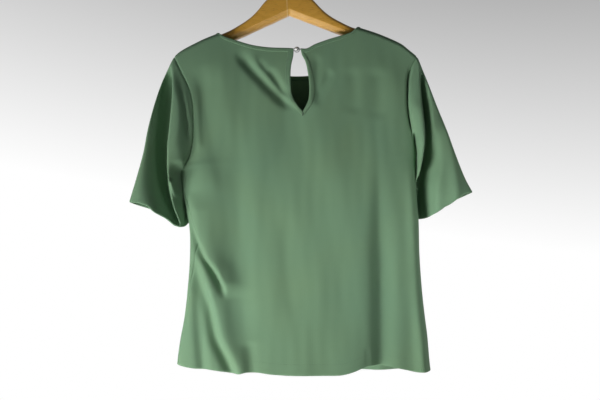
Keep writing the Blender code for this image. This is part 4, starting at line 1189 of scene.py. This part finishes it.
rings, keyhole_stitches, keyhole_facing = [], [], []
outline = lip_outline()
for i, (place, away) in enumerate(outline):
    width = float(follow(KEYHOLE_WIDTHS, i / (len(outline) - 1), "share", "x"))
    rings.append([beside_lip(place, away, into * width, lift)[0] for into, lift in KEYHOLE_CUT])
    spot, facing = beside_lip(place, away, width - LIP_STITCH_IN, LIP_STITCH_LIFT)
    keyhole_stitches.append(spot)
    keyhole_facing.append(facing)
keyhole_binding = piece_made(swept("keyhole_binding", rings, trim), "trim", "keyhole_band")
lowest = outline[int(np.argmin([place[2] for place, _ in outline]))][0]
tip_tack = [beside_lip(lowest, np.array((0.0, -1.0)), below, TACK_LIFT) for below in (3.0, 7.5)]

# %% [markdown]
# Rows of machine stitches hold the bindings and the turned hems. A stitch repeats hundreds of times along a
# path, so Geometry Nodes lay it: the path is a mesh of edges whose points know which way the cloth faces,
# and each stitch is a tiny thread-shaped bead, turned along the row and laid flat on the cloth. Sizes and
# seed are inputs of the tree.

# %% Build the stitch row as a node tree
STITCH_INPUTS = (("Spacing", 0.0027), ("Stitch length", 0.0019), ("Thread width", 0.00045))


def stitch_tree():
    tree = bpy.data.node_groups.new("stitch_row", "GeometryNodeTree")
    sockets = tree.interface
    sockets.new_socket("Row", in_out="INPUT", socket_type="NodeSocketGeometry")
    for name, size in STITCH_INPUTS:
        sockets.new_socket(name, in_out="INPUT", socket_type="NodeSocketFloat").default_value = size
    sockets.new_socket("Seed", in_out="INPUT", socket_type="NodeSocketInt")
    sockets.new_socket("Thread", in_out="INPUT", socket_type="NodeSocketMaterial")
    sockets.new_socket("Stitches", in_out="OUTPUT", socket_type="NodeSocketGeometry")
    nodes = Nodes(tree)
    given = tree.nodes.new("NodeGroupInput")
    wanted = {socket.name: Value(nodes, socket) for socket in given.outputs if socket.name}
    path = nodes.node("GeometryNodeMeshToCurve", None, {"Mesh": wanted["Row"]})
    path = nodes.node("GeometryNodeResampleCurve", {"mode": "LENGTH"},
                      {"Curve": path, "Length": wanted["Spacing"]})
    along = nodes.node("GeometryNodeInputTangent")
    facing = nodes.node("GeometryNodeInputNamedAttribute", {"data_type": "FLOAT_VECTOR"}, {"Name": "facing"})
    turn = nodes.node("FunctionNodeAlignRotationToVector", {"axis": "X"}, {"Vector": along})
    turn = nodes.node("FunctionNodeAlignRotationToVector", {"axis": "Z", "pivot_axis": "X"},
                      {"Rotation": turn, "Vector": facing})
    uneven = nodes.node("FunctionNodeRandomValue", {"data_type": "FLOAT"},
                        {2: 0.86, 3: 1.1, "Seed": wanted["Seed"]}, 1)
    size = nodes.node("ShaderNodeCombineXYZ", None, {
        "X": wanted["Stitch length"] * 0.5 * uneven, "Y": wanted["Thread width"] * 0.5,
        "Z": wanted["Thread width"] * 0.5,
    })
    bead = nodes.node("GeometryNodeMeshUVSphere", None, {"Segments": 6, "Rings": 4, "Radius": 1.0})
    laid = nodes.node("GeometryNodeInstanceOnPoints", None,
                      {"Points": path, "Instance": bead, "Rotation": turn, "Scale": size})
    real = nodes.node("GeometryNodeRealizeInstances", None, {"Geometry": laid})
    smooth = nodes.node("GeometryNodeSetShadeSmooth", None, {"Geometry": real})
    threaded = nodes.node("GeometryNodeSetMaterial", None, {"Geometry": smooth, "Material": wanted["Thread"]})
    out = tree.nodes.new("NodeGroupOutput")
    nodes.feed(out.inputs["Stitches"], threaded)
    return tree


STITCH_TREE = stitch_tree()


def stitch_row(name, places, facing, material, seed, **sizes):
    """Stitches along a path in millimetres, laid by the node tree and turned into a plain mesh."""
    data = bpy.data.meshes.new(name + "_row")
    steps = [(i, i + 1) for i in range(len(places) - 1)]
    data.from_pydata(((places + (SHIRT_X, 0.0, 0.0)) * MM).tolist(), steps, [])
    data.attributes.new("facing", "FLOAT_VECTOR", "POINT").data.foreach_set("vector", facing.ravel())
    row = bpy.data.objects.new(name + "_row", data)
    bpy.context.scene.collection.objects.link(row)
    modifier = row.modifiers.new("stitches", "NODES")
    modifier.node_group = STITCH_TREE
    values = {key.replace("_", " "): value for key, value in sizes.items()}
    values.update(Seed=seed, Thread=material)
    for item in STITCH_TREE.interface.items_tree:
        if item.name in values:
            modifier[item.identifier] = values[item.name]
    evaluated = row.evaluated_get(bpy.context.evaluated_depsgraph_get())
    laid = bpy.data.meshes.new_from_object(evaluated)
    laid.name = name
    bpy.data.objects.remove(row)
    made = bpy.data.objects.new(name, laid)
    bpy.context.scene.collection.objects.link(made)
    return piece_made(made, "thread")


print("stitch tree:", [item.name for item in STITCH_TREE.interface.items_tree])

# %% [markdown]
# Each row follows the edge that it holds down. Thread that matches the knit sews the hems, and a near-black
# one draws the line under the back's bindings: its dark colour is painted shadow, the shade of a sunken
# stitch line.
# A short upright tack closes the pleat under the keyhole's tip.

# %% Sew the bindings and the hems
HEM_STITCH_UP = 18.0
TURNED_ROWS = 8
STITCH_CLEAR = 0.05


def hem_row(piece):
    """Places on the outer cloth above its hem or cuff, and which way the cloth faces there."""
    ids = piece.ids[:-TURNED_ROWS]
    places, facing = above_edge(piece.points[ids], piece.normals[ids], HEM_STITCH_UP)
    return places + facing * (CLOTH / 2 + STITCH_CLEAR), facing


sewn = {
    "back": [
        stitch_row("neck_stitches_back_left", *band_left[1:], seam_thread_and_shadow, 1, Thread_width=0.0006),
        stitch_row("neck_stitches_back_right", *band_right[1:], seam_thread_and_shadow, 2, Thread_width=0.0006),
        stitch_row("keyhole_stitches", np.array(keyhole_stitches), np.array(keyhole_facing), seam_thread_and_shadow, 3,
                   Thread_width=0.0007),
        stitch_row("keyhole_tip_tack", *map(np.array, zip(*tip_tack)), loop_thread, 9, Spacing=0.0012,
                   Thread_width=0.0018),
        stitch_row("hem_stitches_back", *hem_row(back), sewing_thread, 4),
    ],
    "front": [
        stitch_row("neck_stitches_front", *band_front[1:], sewing_thread, 5),
        stitch_row("hem_stitches_front", *hem_row(front), sewing_thread, 6),
    ],
    "left_sleeve": [stitch_row("cuff_stitches_left", *hem_row(left_sleeve), sewing_thread, 7)],
    "right_sleeve": [stitch_row("cuff_stitches_right", *hem_row(right_sleeve), sewing_thread, 8)],
}

# %% [markdown]
# A glassy ball button closes the keyhole. It is turned as one profile with a flattened seat where its
# thread shank leaves, rather than a plain sphere. The shank holds it to the right side; the loop reaches
# round it from the left. Both are two plies of dark thread twisted together.

# %% Make the button, its shank and its loop
BUTTON_RADIUS = 4.0
BUTTON_PLACE = np.array((11.0, -26.0, -205.5))
PLY_RADIUS = 0.36
PLY_PITCH = 2.4
SHANK = ((4.1, 0.9, 0.0), (5.2, 1.3, 0.2), (6.8, 1.9, 0.0), (7.6, 2.3, -0.3))
LOOP_ENDS = ((-7.4, 2.2, 0.6), (-6.1, 2.3, 1.0))
LOOP_RING = 4.9
LOOP_BEHIND = 3.2
BUTTON_SEAT = 0.985
BUTTON_SIDES = 24

glass = Shader("glassy_button", Roughness=0.12, Coat_Weight=1.0, Coat_Roughness=0.04, Specular_IOR_Level=0.75)
cloudy = glass.ramp(glass.noise(glass.place((1.0, 1.0, 1.0)), 420.0, 3.0), (0.35, (0.3, 0.3, 0.29, 1)),
                    (0.7, (0.75, 0.75, 0.73, 1)))
glass.wears("Base Color", cloudy)
around = [math.radians(360 / BUTTON_SIDES * k) for k in range(BUTTON_SIDES)]
rings = []
for turn in (math.radians(degrees) for degrees in range(-88, 89, 8)):
    ring = BUTTON_RADIUS * math.cos(turn)
    height = min(BUTTON_RADIUS * math.sin(turn), BUTTON_RADIUS * BUTTON_SEAT)
    rings.append([BUTTON_PLACE + (height, ring * math.cos(a), ring * math.sin(a)) for a in around])
button = piece_made(swept("button_ball", rings, glass.material), "button", "button")


def twisted_thread(name, route, node):
    """Two plies wound round each other along a route."""
    route = np.asarray(route) + BUTTON_PLACE
    across, up = frames(route)
    gone = run_lengths(route[:, None], 0)[:, 0] / PLY_PITCH * 2 * math.pi
    parts = []
    for phase in (0.0, math.pi):
        offset = across * np.cos(gone + phase)[:, None] + up * np.sin(gone + phase)[:, None]
        parts.append(swept(name, wire_rings(route + offset * PLY_RADIUS * 0.8, PLY_RADIUS, 8), loop_thread))
    joined = bmesh.new()
    for part in parts:
        joined.from_mesh(part.data)
    joined.to_mesh(parts[0].data)
    joined.free()
    bpy.data.objects.remove(parts[1])
    parts[0].data.shade_smooth()
    return piece_made(parts[0], "thread", node)


shank = twisted_thread("button_shank_thread", smooth_route(SHANK, 8), "button_shank")
arc = [(LOOP_RING * math.cos(math.radians(a)), LOOP_BEHIND, LOOP_RING * math.sin(math.radians(a)))
       for a in range(150, -151, -20)]
ends = [(x, y, -z) for x, y, z in LOOP_ENDS[::-1]]
loop = twisted_thread("button_loop_thread", smooth_route([*LOOP_ENDS, *arc, *ends], 4), "button_loop")

# %% [markdown]
# The hanger is varnished light wood in two halves, glued at the middle. Its arms are skins through cuts
# that follow the arm's table: a round top edge, a flat face and a chamfer along the lower edge, which
# catches the light from below. Grain needs a direction, so its pattern is stretched along the arm on the
# skin's own UV map; the varnish is the shader's coat, and a thin pale line is the glue joint.

# %% Grain and varnish the arms
wood = Shader("varnished_wood", Roughness=0.46, Coat_Weight=0.2, Coat_Roughness=0.34)
grain_place = wood.place((60.0, 5.5, 1.0), source="UV")
streaks = wood.noise(grain_place, 2.4, 4.0, 0.6)
pores = wood.noise(wood.place((900.0, 40.0, 1.0), source="UV"), 1.0, 2.0, 0.7)
broad = wood.noise(wood.place((18.0, 2.0, 1.0), source="UV"), 1.0, 2.0)
tone = wood.ramp(streaks * 0.6 + broad * 0.4, (0.25, (0.56, 0.28, 0.036, 1)), (0.5, (0.68, 0.36, 0.052, 1)),
                 (0.78, (0.8, 0.46, 0.08, 1)))
pored = wood.mix(wood.ramp(pores, (0.3, (1, 1, 1, 1)), (0.42, (0, 0, 0, 1))), tone, (0.4, 0.19, 0.025, 1))
from_joint = wood.node("ShaderNodeSeparateXYZ", None, {"Vector": wood.place((1.0, 1.0, 1.0), source="UV")}, 1)
glued = wood.ramp(from_joint * 100.0, (0.04, (1, 1, 1, 1)), (0.08, (0, 0, 0, 1)))
wood.wears("Base Color", wood.mix(glued, pored, (0.86, 0.6, 0.24, 1)))
wood.bump(streaks * 0.5 + pores * 0.5, 0.12, 0.35)

ARM_CHAMFER = 8.0
ARM_TOP_ROUND = 9.0
GLUE_LINE = -4.0
ARM_STEP = 2.4


def tilted(u, y, drop):
    """A place on the hanger once it has turned about its hook's middle, before the shirt's own shift."""
    fallen = drop - HOOK_INNER_RADIUS
    x = u * math.cos(TILT) + fallen * math.sin(TILT)
    return x - SHIRT_X, y, -(HOOK_INNER_RADIUS + fallen * math.cos(TILT) - u * math.sin(TILT))


def arm_section(u):
    """The arm's cut at a place along it, as (y, drop) points all round."""
    top, bottom, half = (float(follow(ARMS, abs(u), "out", key)) for key in ("top", "bottom", "half_thick"))
    rounded = min(ARM_TOP_ROUND, 0.45 * (bottom - top))
    chamfer = min(ARM_CHAMFER, 0.4 * (bottom - top))
    near = [(half * math.cos(turn), top + rounded * (1 - math.sin(turn)))
            for turn in (math.radians(degrees) for degrees in range(90, -1, -10))]
    low = bottom - chamfer
    near += [(half, low - 1.4), (half - 0.1, low - 0.7), (half - 0.45, low)]
    near += [(0.5 * half + 0.5, bottom - 0.6), (0.5 * half, bottom - 0.15), (0.5 * half - 0.6, bottom)]
    return near + [(-y, drop) for y, drop in near[:0:-1]]


def arm(name, side, node):
    start = GLUE_LINE + side * 0.05
    tip = ARMS[-1].out
    stations = np.arange(abs(start), tip, ARM_STEP).tolist() + [tip - 1.2, tip - 0.5, tip]
    stations = [side * station for station in sorted(stations)]
    if side > 0:
        stations = [start, -2.0, 0.0, 2.0] + [u for u in stations if u > 3.9]
    rings = [[tilted(u, y, drop) for y, drop in arm_section(u)] for u in stations]
    return piece_made(swept(name, rings, wood.material, 32), "wood", node)


arms = [arm("left_arm_wood", -1, "hanger_left_arm"), arm("right_arm_wood", 1, "hanger_right_arm")]

# %% [markdown]
# The hook is one steel wire with a rounded tip: a bend that goes over the rail, then a stem that curves
# back to the middle and runs down to the wood. A skin round a smooth route gives it an even thickness.
# Faint lines run along it, as on wire that was drawn through a die.

# %% Bend and polish the hook
steel = Shader("polished_hook_wire", Metallic=1.0, Roughness=0.22)
drawn_lines = steel.noise(steel.place((700.0, 12.0, 1.0), source="UV"), 1.0, 2.0)
steel.wears("Base Color", steel.mix(drawn_lines, (0.5, 0.5, 0.5, 1), (0.68, 0.68, 0.67, 1)))
steel.wears("Roughness", drawn_lines * 0.14 + 0.14)
HOOK_STEM = ((-9.5, 34.6), (-5.2, 38.8), (-2.0, 43.6), (-0.5, 48.8), (0.0, 54.0), (0.0, 61.9))

radius = HOOK_INNER_RADIUS + WIRE_RADIUS
bend = [(radius * math.cos(math.radians(a)), HOOK_INNER_RADIUS - radius * math.sin(math.radians(a)))
        for a in range(-20, 226, 14)]
hook_route = smooth_route([tilted(u, 0.0, drop) for u, drop in (*bend, *HOOK_STEM)], 6)
hook_skin = swept("hook_wire", wire_rings(hook_route, WIRE_RADIUS, 20), steel.material)
hook = piece_made(hook_skin, "hook", "hanger_hook")

# %% [markdown]
# The four cloth pieces are sheets: each was cut flat and then hung. A sheet's cut is as wide and as long as
# the cloth itself measures, seam to seam and with the turned hem, so its sizes come from the meshes and not
# from a guess.

# %% Say how each sheet was cut
def skin_area(made):
    """Area of one side of a closed piece of cloth, in square metres."""
    return sum(polygon.area for polygon in made.data.polygons) / 2


for piece in (back, front, left_sleeve, right_sleeve):
    spread = piece.points[piece.ids] * MM
    across_it = run_lengths(spread, 1)[:, -1].max()
    down_it = run_lengths(spread, 0)[-1].max()
    area = skin_area(cloths[piece.name])
    flat = (round(float(across_it), 3), round(float(down_it), 3))
    area = round(min(max(area, 0.31 * flat[0] * flat[1]), 0.99 * flat[0] * flat[1]), 4)
    print(piece.name, "flat", flat, "m, area", area, "square metres")
